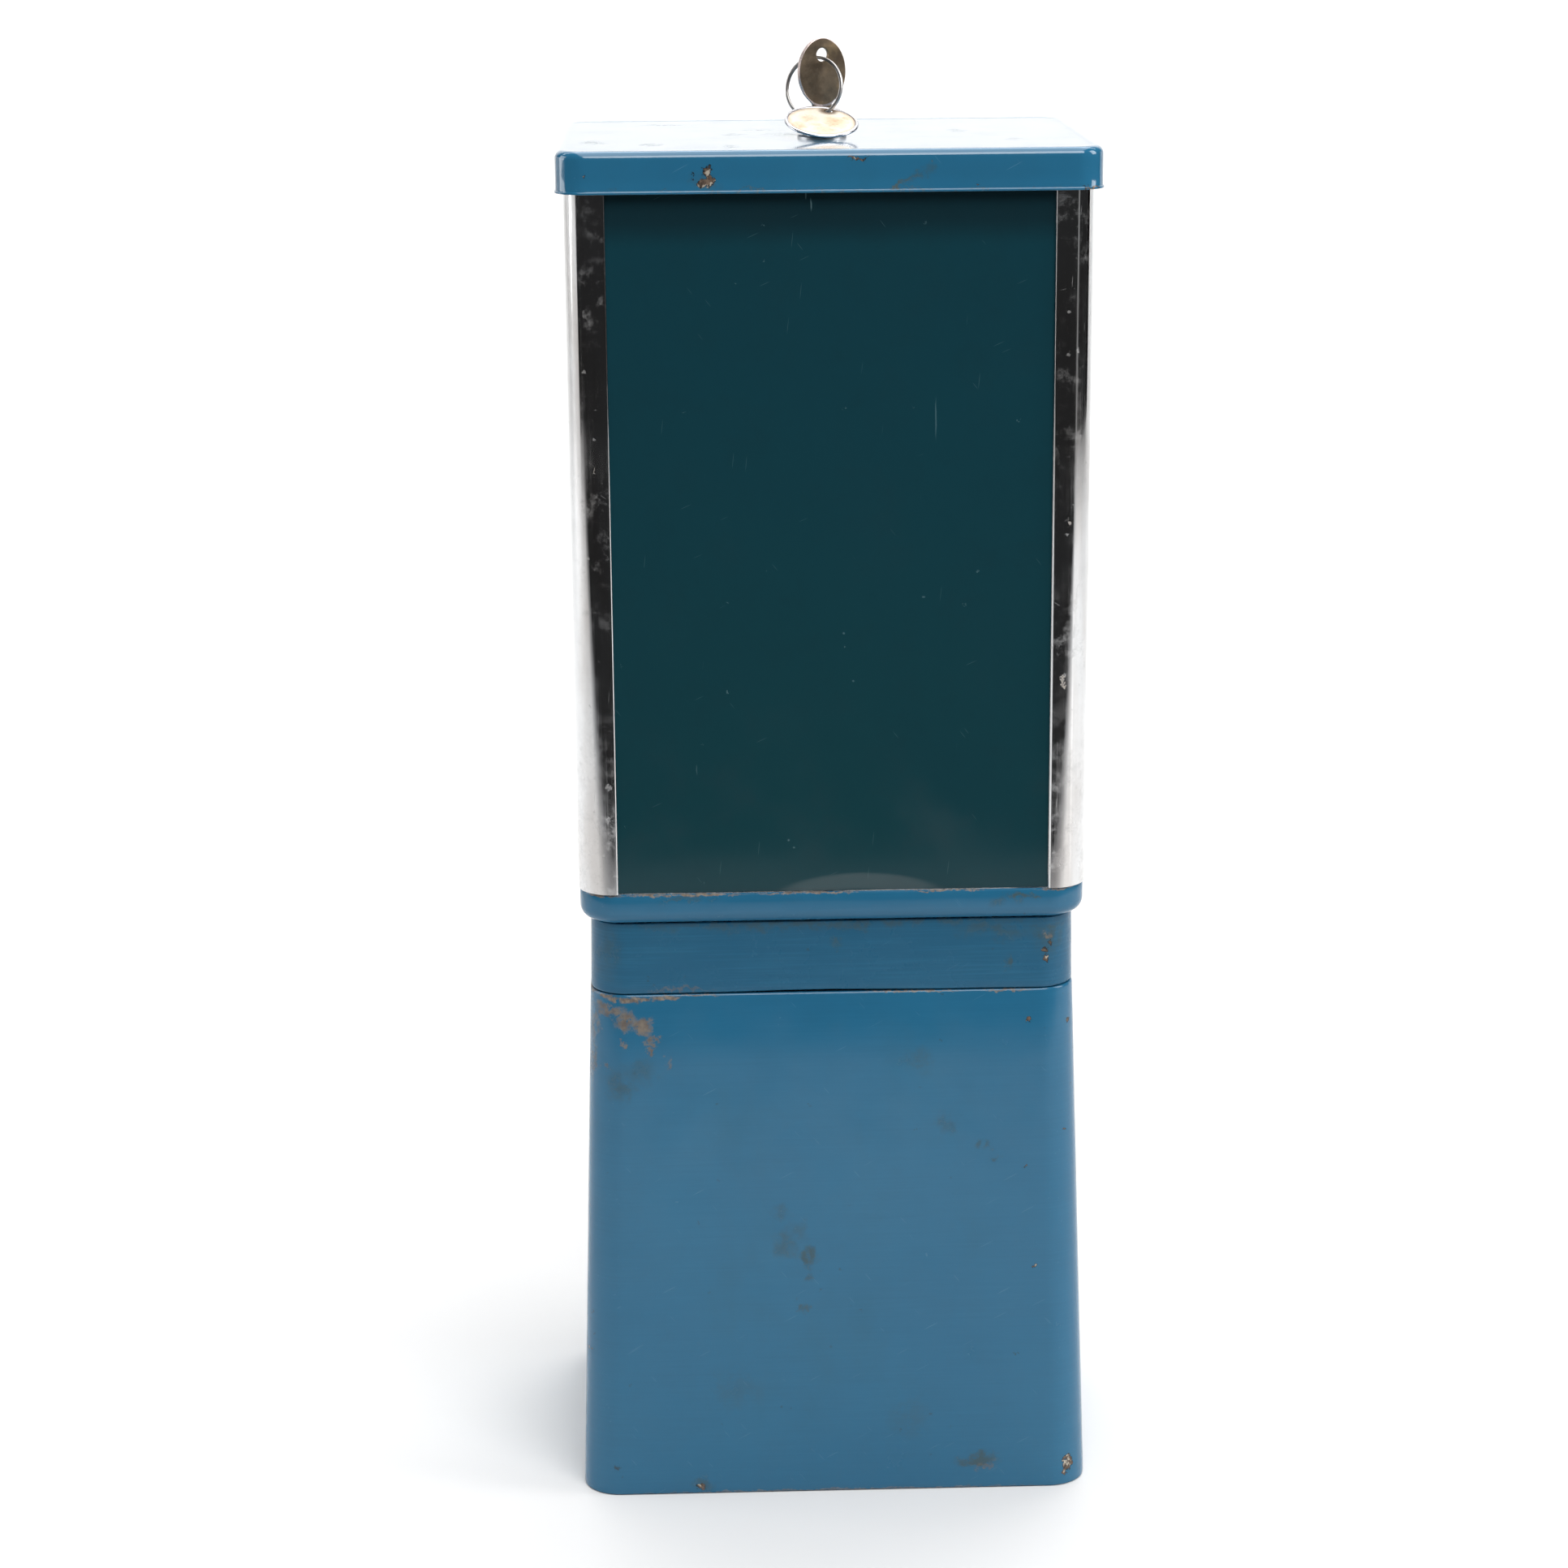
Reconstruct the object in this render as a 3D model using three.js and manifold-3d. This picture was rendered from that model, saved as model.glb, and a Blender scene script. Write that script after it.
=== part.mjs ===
// Countertop capsule vendor with a four-post head, a tapered body and a rod that ties lid to base.
// Millimetres, +Z up. The coin side faces -Y. The origin is the middle of the underside.
import * as THREE from 'three';
import { mergeVertices } from 'three/addons/utils/BufferGeometryUtils.js';
import Module from 'manifold-3d';

const wasm = await Module();
wasm.setup();

// ---------------------------------------------------------------- driving dimensions
const GAP = 0.3;                 // clearance left between neighbouring pieces
const CORNER_SEGS = 8;           // facets in each rounded corner

// tapered body
const BODY_TOP_W = 189.7, BODY_TOP_D = 138.7;
const BODY_BOT_W = 202.9, BODY_BOT_D = 151.9;
const BODY_H = 209.1, BODY_R = 15, BODY_T = 2.5;
const BODY_RIM = 8;              // inward ledge at the top of the body

// neck between body and tray
const NECK_Z0 = 209.4, NECK_Z1 = 238.1;
const NECK_TOP_W = 188.3, NECK_BOT_W = 189.2, NECK_DW = 51, NECK_R = 14.5, NECK_T = 2.5;

// tray that carries the head
const TRAY_Z0 = 238.4, TRAY_Z1 = 250.7, TRAY_W = 196.1, TRAY_D = 145.1, TRAY_R = 14.5;
const TRAY_ROLL = 5.5, TRAY_WALL = 3, TRAY_FLOOR_Z = 243;

// head: corner posts and panels
const HEAD_W = 196.9, HEAD_D = 145.9, POST_R = 14, POST_T = 1.2, POST_FLANGE = 15.5;
const POST_Z0 = 251.0, POST_Z1 = 531.9;
const PANEL_Z0 = 251.0, PANEL_Z1 = 526, PANEL_T = 1.2, WINDOW_T = 2;

// lid
const LID_W = 203, LID_D = 152, LID_Z0 = 518.5, LID_Z1 = 534, LID_R = 11.5, LID_ROLL = 3, LID_T = 1.6;
const LID_HEM = 0.7;

// centre rod, bushing and catch
const ROD_R = 4, ROD_Z0 = 2.3, ROD_Z1 = 500;
const CATCH = { w: 44, d: 24, z0: 489.7, z1: 508.5, t: 2 };

// lock
const LOCK_FACE_Z = 536.8, LOCK_R = 7, LOCK_FLANGE_R = 9.5, PLUG_R = 5;
const KEY_TURN = THREE.MathUtils.degToRad(25);

// dispensing wheel and gears
const WHEEL_R = 54, WHEEL_Z0 = 213.6, WHEEL_Z1 = 242.4;
const POCKETS = 5, POCKET_R = 14.2, POCKET_AT = 31, EXIT_DEG = -35;
const CROWN_TEETH = 40, CROWN_RM = 50, CROWN_FACE = 6, CROWN_H = 4;
const PINION_TEETH = 8, SHAFT_Z = 201.6, SHAFT_R = 3.5;

// coin mechanism on the front
const MECH = { hw: 30, z0: 171, z1: 233.5, r: 12, y0: -88, y1: -71.6, t: 2.5 };

// chute mouth on the front
const DOOR_PIN = { y: -79.2, z: 65.5, r: 1.2 };

// ---------------------------------------------------------------- shape helpers
const toSolid = (geometry) => {
  const g = geometry.clone();
  g.deleteAttribute('normal');
  g.deleteAttribute('uv');
  const m = mergeVertices(g, 1e-4);
  return new wasm.Manifold(new wasm.Mesh({
    numProp: 3,
    vertProperties: new Float32Array(m.attributes.position.array),
    triVerts: new Uint32Array(m.index.array),
  }));
};
const toGeometry = (solid) => {
  const mesh = solid.getMesh();
  const g = new THREE.BufferGeometry();
  g.setAttribute('position', new THREE.BufferAttribute(new Float32Array(mesh.vertProperties), 3));
  g.setIndex(new THREE.BufferAttribute(new Uint32Array(mesh.triVerts), 1));
  g.computeVertexNormals();
  return g;
};
const join = (...s) => s.slice(1).reduce((a, b) => a.add(b), s[0]);
const cut = (a, ...s) => s.reduce((p, b) => p.subtract(b), a);

const box = (x0, x1, y0, y1, z0, z1) => {
  const g = new THREE.BoxGeometry(x1 - x0, y1 - y0, z1 - z0);
  g.translate((x0 + x1) / 2, (y0 + y1) / 2, (z0 + z1) / 2);
  return toSolid(g);
};
const cylZ = (r, z0, z1, x = 0, y = 0, n = 40, r2 = r) => {
  const g = new THREE.CylinderGeometry(r2, r, z1 - z0, n);
  g.rotateX(Math.PI / 2);
  g.translate(x, y, (z0 + z1) / 2);
  return toSolid(g);
};
const cylY = (r, y0, y1, x = 0, z = 0, n = 32, r2 = r) => {
  const g = new THREE.CylinderGeometry(r2, r, y1 - y0, n);
  g.translate(x, (y0 + y1) / 2, z);
  return toSolid(g);
};
const cylX = (r, x0, x1, y = 0, z = 0, n = 20) => {
  const g = new THREE.CylinderGeometry(r, r, x1 - x0, n);
  g.rotateZ(Math.PI / 2);
  g.translate((x0 + x1) / 2, y, z);
  return toSolid(g);
};
// points of a rounded rectangle, anticlockwise from above
const ringPoints = (w, d, r, segs = CORNER_SEGS) => {
  const pts = [];
  for (let q = 0; q < 4; q++) {
    const cx = (q === 0 || q === 3 ? 1 : -1) * (w / 2 - r);
    const cy = (q < 2 ? 1 : -1) * (d / 2 - r);
    for (let i = 0; i <= segs; i++) {
      const a = (q + i / segs) * Math.PI / 2;
      pts.push([cx + r * Math.cos(a), cy + r * Math.sin(a)]);
    }
  }
  return pts;
};
// closed solid through a stack of equal-length rings of 3-D points, listed from the bottom up
const loft = (rings) => {
  const n = rings[0].length, pos = [], idx = [];
  rings.forEach((ring) => ring.forEach((p) => pos.push(...p)));
  for (let k = 0; k + 1 < rings.length; k++) {
    for (let i = 0; i < n; i++) {
      const a = k * n + i, b = k * n + (i + 1) % n, c = a + n, d = b + n;
      idx.push(a, b, d, a, d, c);
    }
  }
  const top = (rings.length - 1) * n;
  for (let i = 1; i + 1 < n; i++) {
    idx.push(0, i + 1, i);
    idx.push(top, top + i, top + i + 1);
  }
  // a stack may run either way along its axis: keep the faces pointing out
  let volume = 0;
  const at = (i) => new THREE.Vector3(pos[3 * i], pos[3 * i + 1], pos[3 * i + 2]);
  for (let i = 0; i < idx.length; i += 3) volume += at(idx[i]).dot(at(idx[i + 1]).cross(at(idx[i + 2])));
  if (volume < 0) idx.reverse();
  const g = new THREE.BufferGeometry();
  g.setAttribute('position', new THREE.BufferAttribute(new Float32Array(pos), 3));
  g.setIndex(idx);
  return toSolid(g);
};
const level = (w, d, r, z, segs) => ringPoints(w, d, Math.max(r, 0.4), segs).map(([x, y]) => [x, y, z]);
// flat outline in X-Y raised from z0 to z1
const slab = (points, z0, z1, holes = []) => {
  const s = new THREE.Shape(points.map(([x, y]) => new THREE.Vector2(x, y)));
  holes.forEach((h) => s.holes.push(new THREE.Path(h.map(([x, y]) => new THREE.Vector2(x, y)))));
  const g = new THREE.ExtrudeGeometry(s, { depth: z1 - z0, bevelEnabled: false });
  g.translate(0, 0, z0);
  return toSolid(g);
};
// flat outline in X-Z carried from y0 to y1
const slabY = (points, y0, y1) => {
  const s = new THREE.Shape(points.map(([x, z]) => new THREE.Vector2(x, z)));
  const g = new THREE.ExtrudeGeometry(s, { depth: y1 - y0, bevelEnabled: false });
  g.rotateX(Math.PI / 2);
  g.translate(0, y1, 0);
  return toSolid(g);
};
const circle = (r, n = 32, x = 0, y = 0) => Array.from({ length: n }, (_, i) => {
  const a = (i / n) * 2 * Math.PI;
  return [x + r * Math.cos(a), y + r * Math.sin(a)];
});
const hexagon = (flats, x = 0, y = 0) => circle(flats / Math.sqrt(3), 6, x, y);
const turned = (solid, axis, angle, at = new THREE.Vector3()) => {
  const g = toGeometry(solid);
  g.translate(-at.x, -at.y, -at.z);
  g.applyMatrix4(new THREE.Matrix4().makeRotationAxis(axis, angle));
  g.translate(at.x, at.y, at.z);
  return toSolid(g);
};
const bodySize = (z) => {
  const k = z / BODY_H;
  return [BODY_BOT_W + (BODY_TOP_W - BODY_BOT_W) * k, BODY_BOT_D + (BODY_TOP_D - BODY_BOT_D) * k];
};
const X = new THREE.Vector3(1, 0, 0), Y = new THREE.Vector3(0, 1, 0), Z = new THREE.Vector3(0, 0, 1);

// ---------------------------------------------------------------- materials
const finish = (color, roughness, metalness, extra = {}) => ({ color, roughness, metalness, ...extra });
const BLUE = finish(0x2f6a8c, 0.28, 0.15);
const TEAL = finish(0x12383f, 0.18, 0.2);
const CHROME = finish(0xc9ccce, 0.16, 1);
const STEEL = finish(0x9a9da0, 0.35, 1);
const CLEAR = finish(0xdfe9ea, 0.05, 0, { transparent: true, opacity: 0.3 });
const BRASS = finish(0xb08a45, 0.35, 1);
const BRONZE = finish(0x5a4c3a, 0.45, 0.9);
const BLACK = finish(0x1b1c1e, 0.5, 0);
const WHITE = finish(0xdcd8cc, 0.45, 0);
const CARD = finish(0xe6d9bd, 0.85, 0);
const BRISTLE = finish(0x2a2622, 0.9, 0);

const group = new THREE.Group();
const put = (name, solid, look) => {
  const mesh = new THREE.Mesh(toGeometry(solid), new THREE.MeshStandardMaterial(look));
  mesh.name = name;
  group.add(mesh);
  return mesh;
};

// ---------------------------------------------------------------- base and body
{
  const [w, d] = bodySize(0);
  const inset = 2 * (BODY_T + 0.5);
  const plate = join(
    loft([level(w - inset, d - inset, BODY_R - BODY_T, 0), level(w - inset - 0.2, d - inset - 0.2, BODY_R - BODY_T, 3)]),
    cylZ(9, 2.9, 12),
  );
  put('base_plate', cut(plate, cylZ(ROD_R + GAP, 2, 13)), STEEL);

  const outer = loft([level(w, d, BODY_R, 0), level(BODY_TOP_W, BODY_TOP_D, BODY_R, BODY_H)]);
  const [wl, dl] = bodySize(BODY_H - 7);
  const inner = loft([
    level(w - 2 * BODY_T + 0.06, d - 2 * BODY_T + 0.06, BODY_R - BODY_T, -1),
    level(wl - 2 * BODY_T, dl - 2 * BODY_T, BODY_R - BODY_T, BODY_H - 7),
  ]);
  const seat = slab(ringPoints(BODY_TOP_W - 2 * BODY_T, BODY_TOP_D - 2 * BODY_T, BODY_R - BODY_T), BODY_H - 3.9, BODY_H + 1);
  const throat = slab(ringPoints(BODY_TOP_W - 2 * BODY_T - 2 * BODY_RIM, BODY_TOP_D - 2 * BODY_T - 2 * BODY_RIM, 8), BODY_H - 12, BODY_H + 1);
  put('body_shell', cut(
    outer, inner, seat, throat,
    box(-26.3, 26.3, -80, -60, 20.5, 66),                 // capsule mouth
    box(-15.5, 15.5, -80, -60, 174, 190),                 // coin drop
    cylY(6, -80, -60, 0, SHAFT_Z, 24),                    // handle shaft
    box(-14, 14, -66.8, -50, 190, BODY_H + 1),            // relief in the ledge for the shaft
  ), BLUE);
}

// plate under the wheel, dropped into the top of the body
{
  const w = BODY_TOP_W - 2 * BODY_T - 1, d = BODY_TOP_D - 2 * BODY_T - 1;
  const a = THREE.MathUtils.degToRad(EXIT_DEG);
  const ex = POCKET_AT * Math.cos(a), ey = POCKET_AT * Math.sin(a);
  put('wheel_base_plate', cut(
    slab(ringPoints(w, d, BODY_R - BODY_T - 0.5), BODY_H - 3.6, BODY_H - 0.1),
    cylZ(POCKET_R + 0.3, 200, 212, ex, ey, 32),
    cylZ(ROD_R + GAP, 200, 212, 0, 0, 24),
    box(-13.5, 13.5, -56, -44, 200, 212),
  ), STEEL);

  // square drop from the plate to the chute
  const hw = 16.5, iw = 15;
  put('exit_duct', cut(
    box(ex - hw, ex + hw, ey - hw, ey + hw, 117.9, BODY_H - 3.9),
    box(ex - iw, ex + iw, ey - iw, ey + iw, 110, 210),
  ), STEEL);

  // sloping chute from the duct to the mouth
  const cx0 = ex - hw - 1.5, cx1 = ex + hw + 1.5, cy0 = ey - hw - 1.5, cy1 = ey + hw + 1.5;
  const face = (x0, x1, y, z0, z1) => [[x0, y, z0], [x1, y, z0], [x1, y, z1], [x0, y, z1]];
  const outer = loft([
    face(-25, 25, -76.2, 22, 64), face(-25, 25, -70, 24, 64), face(cx0, cx1, cy0, 56, 117.6), face(cx0, cx1, cy1, 80, 117.6),
  ]);
  const inner = loft([
    face(-23.5, 23.5, -77.5, 23.2, 62.5), face(-23.5, 23.5, -70, 25.5, 62.5), face(cx0 + 1.5, cx1 - 1.5, cy0 + 1.2, 57.9, 116.1), face(cx0 + 1.5, cx1 - 1.5, cy1 - 1.5, 81.2, 116.1),
  ]);
  put('chute', cut(outer, inner, box(ex - iw, ex + iw, ey - iw, ey + iw, 110, 125)), STEEL);
}

// ---------------------------------------------------------------- cash side
{
  put('cash_box', cut(box(-84, 84, 13, 66, 3.4, 92), box(-82.5, 82.5, 14.5, 64.5, 4.9, 95)), STEEL);
  const sec = (x0, x1, y, z, h) => [[x0, y, z], [x0, y, z + h], [x1, y, z + h], [x1, y, z]];
  const outer = loft([sec(-15, 15, -64, 168, 8), sec(-40, -12, 18, 108, 8)]);
  const inner = loft([sec(-13.8, 13.8, -65, 169.93, 10), sec(-38.8, -13.2, 19, 108.47, 10)]);
  put('coin_slide', cut(outer, inner), STEEL);
}

// ---------------------------------------------------------------- neck and tray
{
  const lv = (w, z, t = 0) => level(w - 2 * t, w - NECK_DW - 2 * t, NECK_R - t, z);
  put('neck_housing', cut(
    loft([lv(NECK_BOT_W, NECK_Z0), lv(NECK_TOP_W, NECK_Z1)]),
    loft([lv(NECK_BOT_W, NECK_Z0 - 1, NECK_T), lv(NECK_TOP_W, NECK_Z1 + 1, NECK_T)]),
  ), BLUE);

  const rings = [];
  for (let i = 0; i <= 5; i++) {
    const a = (i / 5) * Math.PI / 2;
    const off = TRAY_ROLL * (1 - Math.sin(a));
    rings.push(level(TRAY_W - 2 * off, TRAY_D - 2 * off, TRAY_R - off * 0.8, TRAY_Z0 + TRAY_ROLL * (1 - Math.cos(a))));
  }
  rings.push(level(TRAY_W, TRAY_D, TRAY_R, TRAY_Z1 - 0.6));
  rings.push(level(TRAY_W - 1, TRAY_D - 1, TRAY_R - 0.5, TRAY_Z1));
  const pan = loft([
    level(WHEEL_R * 2 + 20, WHEEL_R * 2 + 6, 40, TRAY_FLOOR_Z),
    level(TRAY_W - 2 * TRAY_WALL, TRAY_D - 2 * TRAY_WALL, TRAY_R - TRAY_WALL, TRAY_FLOOR_Z + 4),
    level(TRAY_W - 2 * TRAY_WALL, TRAY_D - 2 * TRAY_WALL, TRAY_R - TRAY_WALL, TRAY_Z1 + 1),
  ]);
  put('hopper_tray', cut(loft(rings), pan, cylZ(WHEEL_R + 1, 230, 250, 0, 0, 64)), BLUE);
}

// ---------------------------------------------------------------- head: posts, rear panel, windows
{
  const post = () => {
    const pts = [], inner = [];
    const cx = HEAD_W / 2 - POST_R, cy = HEAD_D / 2 - POST_R, n = 10;
    pts.push([HEAD_W / 2, HEAD_D / 2 - POST_FLANGE]);
    for (let i = 0; i <= n; i++) {
      const a = (i / n) * Math.PI / 2;
      pts.push([cx + POST_R * Math.cos(a), cy + POST_R * Math.sin(a)]);
      inner.push([cx + (POST_R - POST_T) * Math.cos(a), cy + (POST_R - POST_T) * Math.sin(a)]);
    }
    pts.push([HEAD_W / 2 - POST_FLANGE, HEAD_D / 2]);
    pts.push([HEAD_W / 2 - POST_FLANGE, HEAD_D / 2 - POST_T]);
    inner.reverse().forEach((p) => pts.push(p));
    pts.push([HEAD_W / 2 - POST_T, HEAD_D / 2 - POST_FLANGE]);
    return pts;
  };
  const place = (name, sx, sy) => {
    let pts = post().map(([x, y]) => [x * sx, y * sy]);
    if (sx * sy < 0) pts = pts.reverse();
    put(name, slab(pts, POST_Z0, POST_Z1), CHROME);
  };
  place('corner_post_rear_left', 1, 1);
  place('corner_post_rear_right', -1, 1);
  place('corner_post_front_right', 1, -1);
  place('corner_post_front_left', -1, -1);

  const ph = HEAD_W / 2 - 10.6, yo = HEAD_D / 2 - POST_T - 0.5;
  put('rear_panel', box(-ph, ph, yo - PANEL_T, yo, PANEL_Z0, PANEL_Z1), TEAL);
  put('front_window', box(-ph, ph, -yo, -yo + WINDOW_T, PANEL_Z0, PANEL_Z1), CLEAR);
  const pd = HEAD_D / 2 - 12.6, xo = HEAD_W / 2 - POST_T - 0.45;
  put('side_window_right', box(xo - WINDOW_T, xo, -pd, pd, PANEL_Z0, PANEL_Z1), CLEAR);
  put('side_window_left', box(-xo, -xo + WINDOW_T, -pd, pd, PANEL_Z0, PANEL_Z1), CLEAR);
}

// ---------------------------------------------------------------- centre rod and lid catch
{
  put('centre_rod', cylZ(ROD_R, ROD_Z0, ROD_Z1, 0, 0, 24), STEEL);
  put('wheel_bushing', cut(cylZ(5, BODY_H + 0.2, 243.4, 0, 0, 24), cylZ(ROD_R + GAP, 200, 250, 0, 0, 24)), BRASS);
  put('rod_collar', cut(cylZ(8, 249.2, 256, 0, 0, 32), cylZ(ROD_R + GAP, 240, 260, 0, 0, 24)), STEEL);
  const { w, d, z0, z1, t } = CATCH;
  put('lid_catch', cut(
    box(-w / 2, w / 2, -d / 2, d / 2, z0, z1),
    box(-w / 2 + t, w / 2 - t, -d, d, z0 + t, z1 - t),
    box(-13, 13, -5.7, 5.7, z1 - t - 1, z1 + 1),
    cylZ(ROD_R + GAP, z0 - 1, z0 + t + 1, 0, 0, 24),
  ), STEEL);
  put('catch_nut_lower', cut(slab(hexagon(13), z0 - 6.5, z0 - GAP), cylZ(ROD_R + GAP, 470, 495, 0, 0, 24)), STEEL);
  put('catch_nut_upper', cut(slab(hexagon(13), z0 + t + GAP, z0 + t + 6), cylZ(ROD_R + GAP, 470, 505, 0, 0, 24)), STEEL);
}

// ---------------------------------------------------------------- lid and lock
{
  const rings = [
    level(LID_W + 2 * 0, LID_D, LID_R, LID_Z0),
    level(LID_W, LID_D, LID_R, LID_Z0 + LID_HEM),
    level(LID_W - 0.9, LID_D - 0.9, LID_R - 0.45, LID_Z0 + LID_HEM + 0.35),
    level(LID_W - 0.9, LID_D - 0.9, LID_R - 0.45, LID_Z1 - LID_ROLL),
  ];
  for (let i = 1; i <= 5; i++) {
    const a = (i / 5) * Math.PI / 2;
    const off = 0.45 + LID_ROLL * (1 - Math.cos(a));
    rings.push(level(LID_W - 2 * off, LID_D - 2 * off, LID_R - off * 0.8, LID_Z1 - LID_ROLL + LID_ROLL * Math.sin(a)));
  }
  put('lid', cut(
    loft(rings),
    loft([
      level(LID_W - 2 * LID_T - 0.9, LID_D - 2 * LID_T - 0.9, LID_R - LID_T, LID_Z0 - 1),
      level(LID_W - 2 * LID_T - 0.9, LID_D - 2 * LID_T - 0.9, LID_R - LID_T, LID_Z1 - LID_T - 0.2),
    ]),
    cylZ(LOCK_R + GAP, 515, 540, 0, 0, 32),
  ), BLUE);

  put('lock_barrel', cut(
    join(
      cylZ(LOCK_R, 509.6, LID_Z1 + 0.4, 0, 0, 32),
      cylZ(LOCK_FLANGE_R, LID_Z1 + GAP, LOCK_FACE_Z - 0.9, 0, 0, 40),
      cylZ(LOCK_FLANGE_R, LOCK_FACE_Z - 0.9, LOCK_FACE_Z, 0, 0, 40, LOCK_FLANGE_R - 0.9),
    ),
    cylZ(PLUG_R + GAP, 500, 540, 0, 0, 32),
  ), CHROME);
  put('lock_nut', cut(slab(hexagon(19), 525.8, 531.8), cylZ(LOCK_R + GAP, 520, 535, 0, 0, 32)), STEEL);

  const keyway = turned(box(-3.6, 3.6, -1.3, 1.3, 511.5, 540), Z, KEY_TURN);
  put('lock_plug', cut(cylZ(PLUG_R, 506.3, LOCK_FACE_Z - 0.3, 0, 0, 32), keyway), BRASS);
  put('lock_cam', join(box(-11, 11, -4, 4, 502.8, 506), cylZ(4.6, 501.6, 503.2, 0, 0, 24)), STEEL);
}

// ---------------------------------------------------------------- key, ring and tag
{
  // key blank, drawn in its own X-Z plane and turned with the plug
  const bow = circle(10, 36).map(([x, z]) => [x, 557.3 + z * 1.27]);
  let key = join(
    slabY(bow, -1, 1),
    slabY([[-3.7, LOCK_FACE_Z + 0.4], [3.7, LOCK_FACE_Z + 0.4], [3.7, 547.5], [-3.7, 547.5]], -1, 1),
    slabY([[-3.2, 515.4], [-1.4, 512.6], [1.1, 512.6], [3.2, 515.4], [3.2, 538], [-3.2, 538]], -0.95, 0.95),
  );
  key = cut(key,
    cylY(2.6, -3, 3, 0, 563.7, 24),
    slabY([[3.4, 516.4], [1.6, 517.6], [1.6, 519.4], [3.4, 520.6]], -3, 3),
    slabY([[3.4, 521.2], [2.1, 522.2], [2.1, 523.8], [3.4, 524.8]], -3, 3),
    slabY([[3.4, 525.6], [1.3, 527], [1.3, 528.6], [3.4, 530]], -3, 3),
  );
  put('key', turned(key, Z, KEY_TURN), BRONZE);

  // split ring: a plane through the hole in the bow and past one side of the neck
  const wdir = new THREE.Vector3(Math.cos(KEY_TURN), Math.sin(KEY_TURN), 0);
  const H = new THREE.Vector3(0, 0, 562.5);
  const C = wdir.clone().multiplyScalar(6.7).add(new THREE.Vector3(0, 0, 540.6));
  const O = H.clone().add(C).multiplyScalar(0.5);
  const ringR = H.distanceTo(C) / 2;
  const u = C.clone().sub(H).normalize();
  const toFront = new THREE.Vector3(-0.883, 0.469, 0);
  const e2 = toFront.clone().addScaledVector(u, -toFront.dot(u)).normalize();
  const n = u.clone().cross(e2).normalize();
  const ring = new THREE.TorusGeometry(ringR, 0.9, 8, 36);
  ring.applyMatrix4(new THREE.Matrix4().makeBasis(u, e2, n).setPosition(O));
  put('key_ring', toSolid(ring), STEEL);

  // tag: card disc in a pressed metal rim, leaning from the ring down to the lid
  const th = THREE.MathUtils.degToRad(132);
  const P = O.clone().addScaledVector(u, -ringR * Math.cos(th)).addScaledVector(e2, ringR * Math.sin(th));
  const tilt = THREE.MathUtils.degToRad(19), lean = THREE.MathUtils.degToRad(12);
  const down = new THREE.Vector3(-Math.sin(lean) * Math.cos(tilt), Math.cos(lean) * Math.cos(tilt), -Math.sin(tilt));
  const nt = new THREE.Vector3(-Math.sin(lean) * Math.sin(tilt), Math.cos(lean) * Math.sin(tilt), Math.cos(tilt));
  const xt = down.clone().cross(nt).normalize();
  const hole = THREE.MathUtils.degToRad(-27.5);
  const hx = 10.9 * Math.sin(hole), hy = -10.9 * Math.cos(hole);
  const centre = P.clone().addScaledVector(xt, -hx).addScaledVector(down, -hy);
  const basis = new THREE.Matrix4().makeBasis(xt, down, nt).setPosition(centre);
  const posed = (solid) => { const g = toGeometry(solid); g.applyMatrix4(basis); return toSolid(g); };
  put('key_tag_card', posed(cut(cylZ(12.7, -0.25, 0.25, 0, 0, 40), cylZ(1.75, -3, 3, hx, hy, 20))), CARD);
  put('key_tag_rim', posed(cut(cylZ(14.3, -0.55, 0.55, 0, 0, 48), cylZ(13, -3, 3, 0, 0, 48))), CHROME);
}

// ---------------------------------------------------------------- dispensing wheel
{
  let wheel = cut(cylZ(WHEEL_R, WHEEL_Z0, WHEEL_Z1, 0, 0, 64), cylZ(5.3, 200, 250, 0, 0, 24));
  wheel = join(wheel, cut(cylZ(12, BODY_H + 0.3, WHEEL_Z0 + 0.5, 0, 0, 32), cylZ(5.3, 200, 250, 0, 0, 24)));
  for (let i = 0; i < POCKETS; i++) {
    const a = THREE.MathUtils.degToRad(EXIT_DEG + (i * 360) / POCKETS);
    wheel = cut(wheel, cylZ(POCKET_R, 212, 245, POCKET_AT * Math.cos(a), POCKET_AT * Math.sin(a), 28));
  }
  // crown teeth under the rim, one of them at mid-gap over the pinion
  const tooth = (a) => {
    const r0 = CROWN_RM - CROWN_FACE / 2, r1 = CROWN_RM + CROWN_FACE / 2;
    const sec = (r, h, z) => [[-h, -r, z], [h, -r, z]];
    const ring = (h, z) => [[-h, -r1, z], [h, -r1, z], [h, -r0, z], [-h, -r0, z]];
    return turned(loft([ring(1.15, WHEEL_Z0 - CROWN_H), ring(2.1, WHEEL_Z0 + 0.2)]), Z, a);
  };
  for (let i = 0; i < CROWN_TEETH; i++) {
    wheel = join(wheel, tooth(((i + 0.5) / CROWN_TEETH) * 2 * Math.PI));
  }
  put('dispensing_wheel', wheel, WHITE);

  // stirring arms above the wheel
  const frame = join(
    cylZ(8.5, 256.8, 266, 0, 0, 32),
    box(-12.4, 12.4, -3.1, 3.1, 260.3, 264.6),
    box(-12, -8.9, -2.8, 2.8, WHEEL_Z1 + GAP, 261),
    box(8.9, 12, -2.8, 2.8, WHEEL_Z1 + GAP, 261),
    box(-34, 34, -1.6, 1.6, 261.1, 263.9),
    box(31.2, 33.7, -1.3, 1.3, 262, 276),
    box(-33.7, -31.2, -1.3, 1.3, 262, 276),
  );
  put('agitator', turned(cut(frame, cylZ(ROD_R + GAP, 250, 270, 0, 0, 24)), Z, 1.1), STEEL);
}

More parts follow.
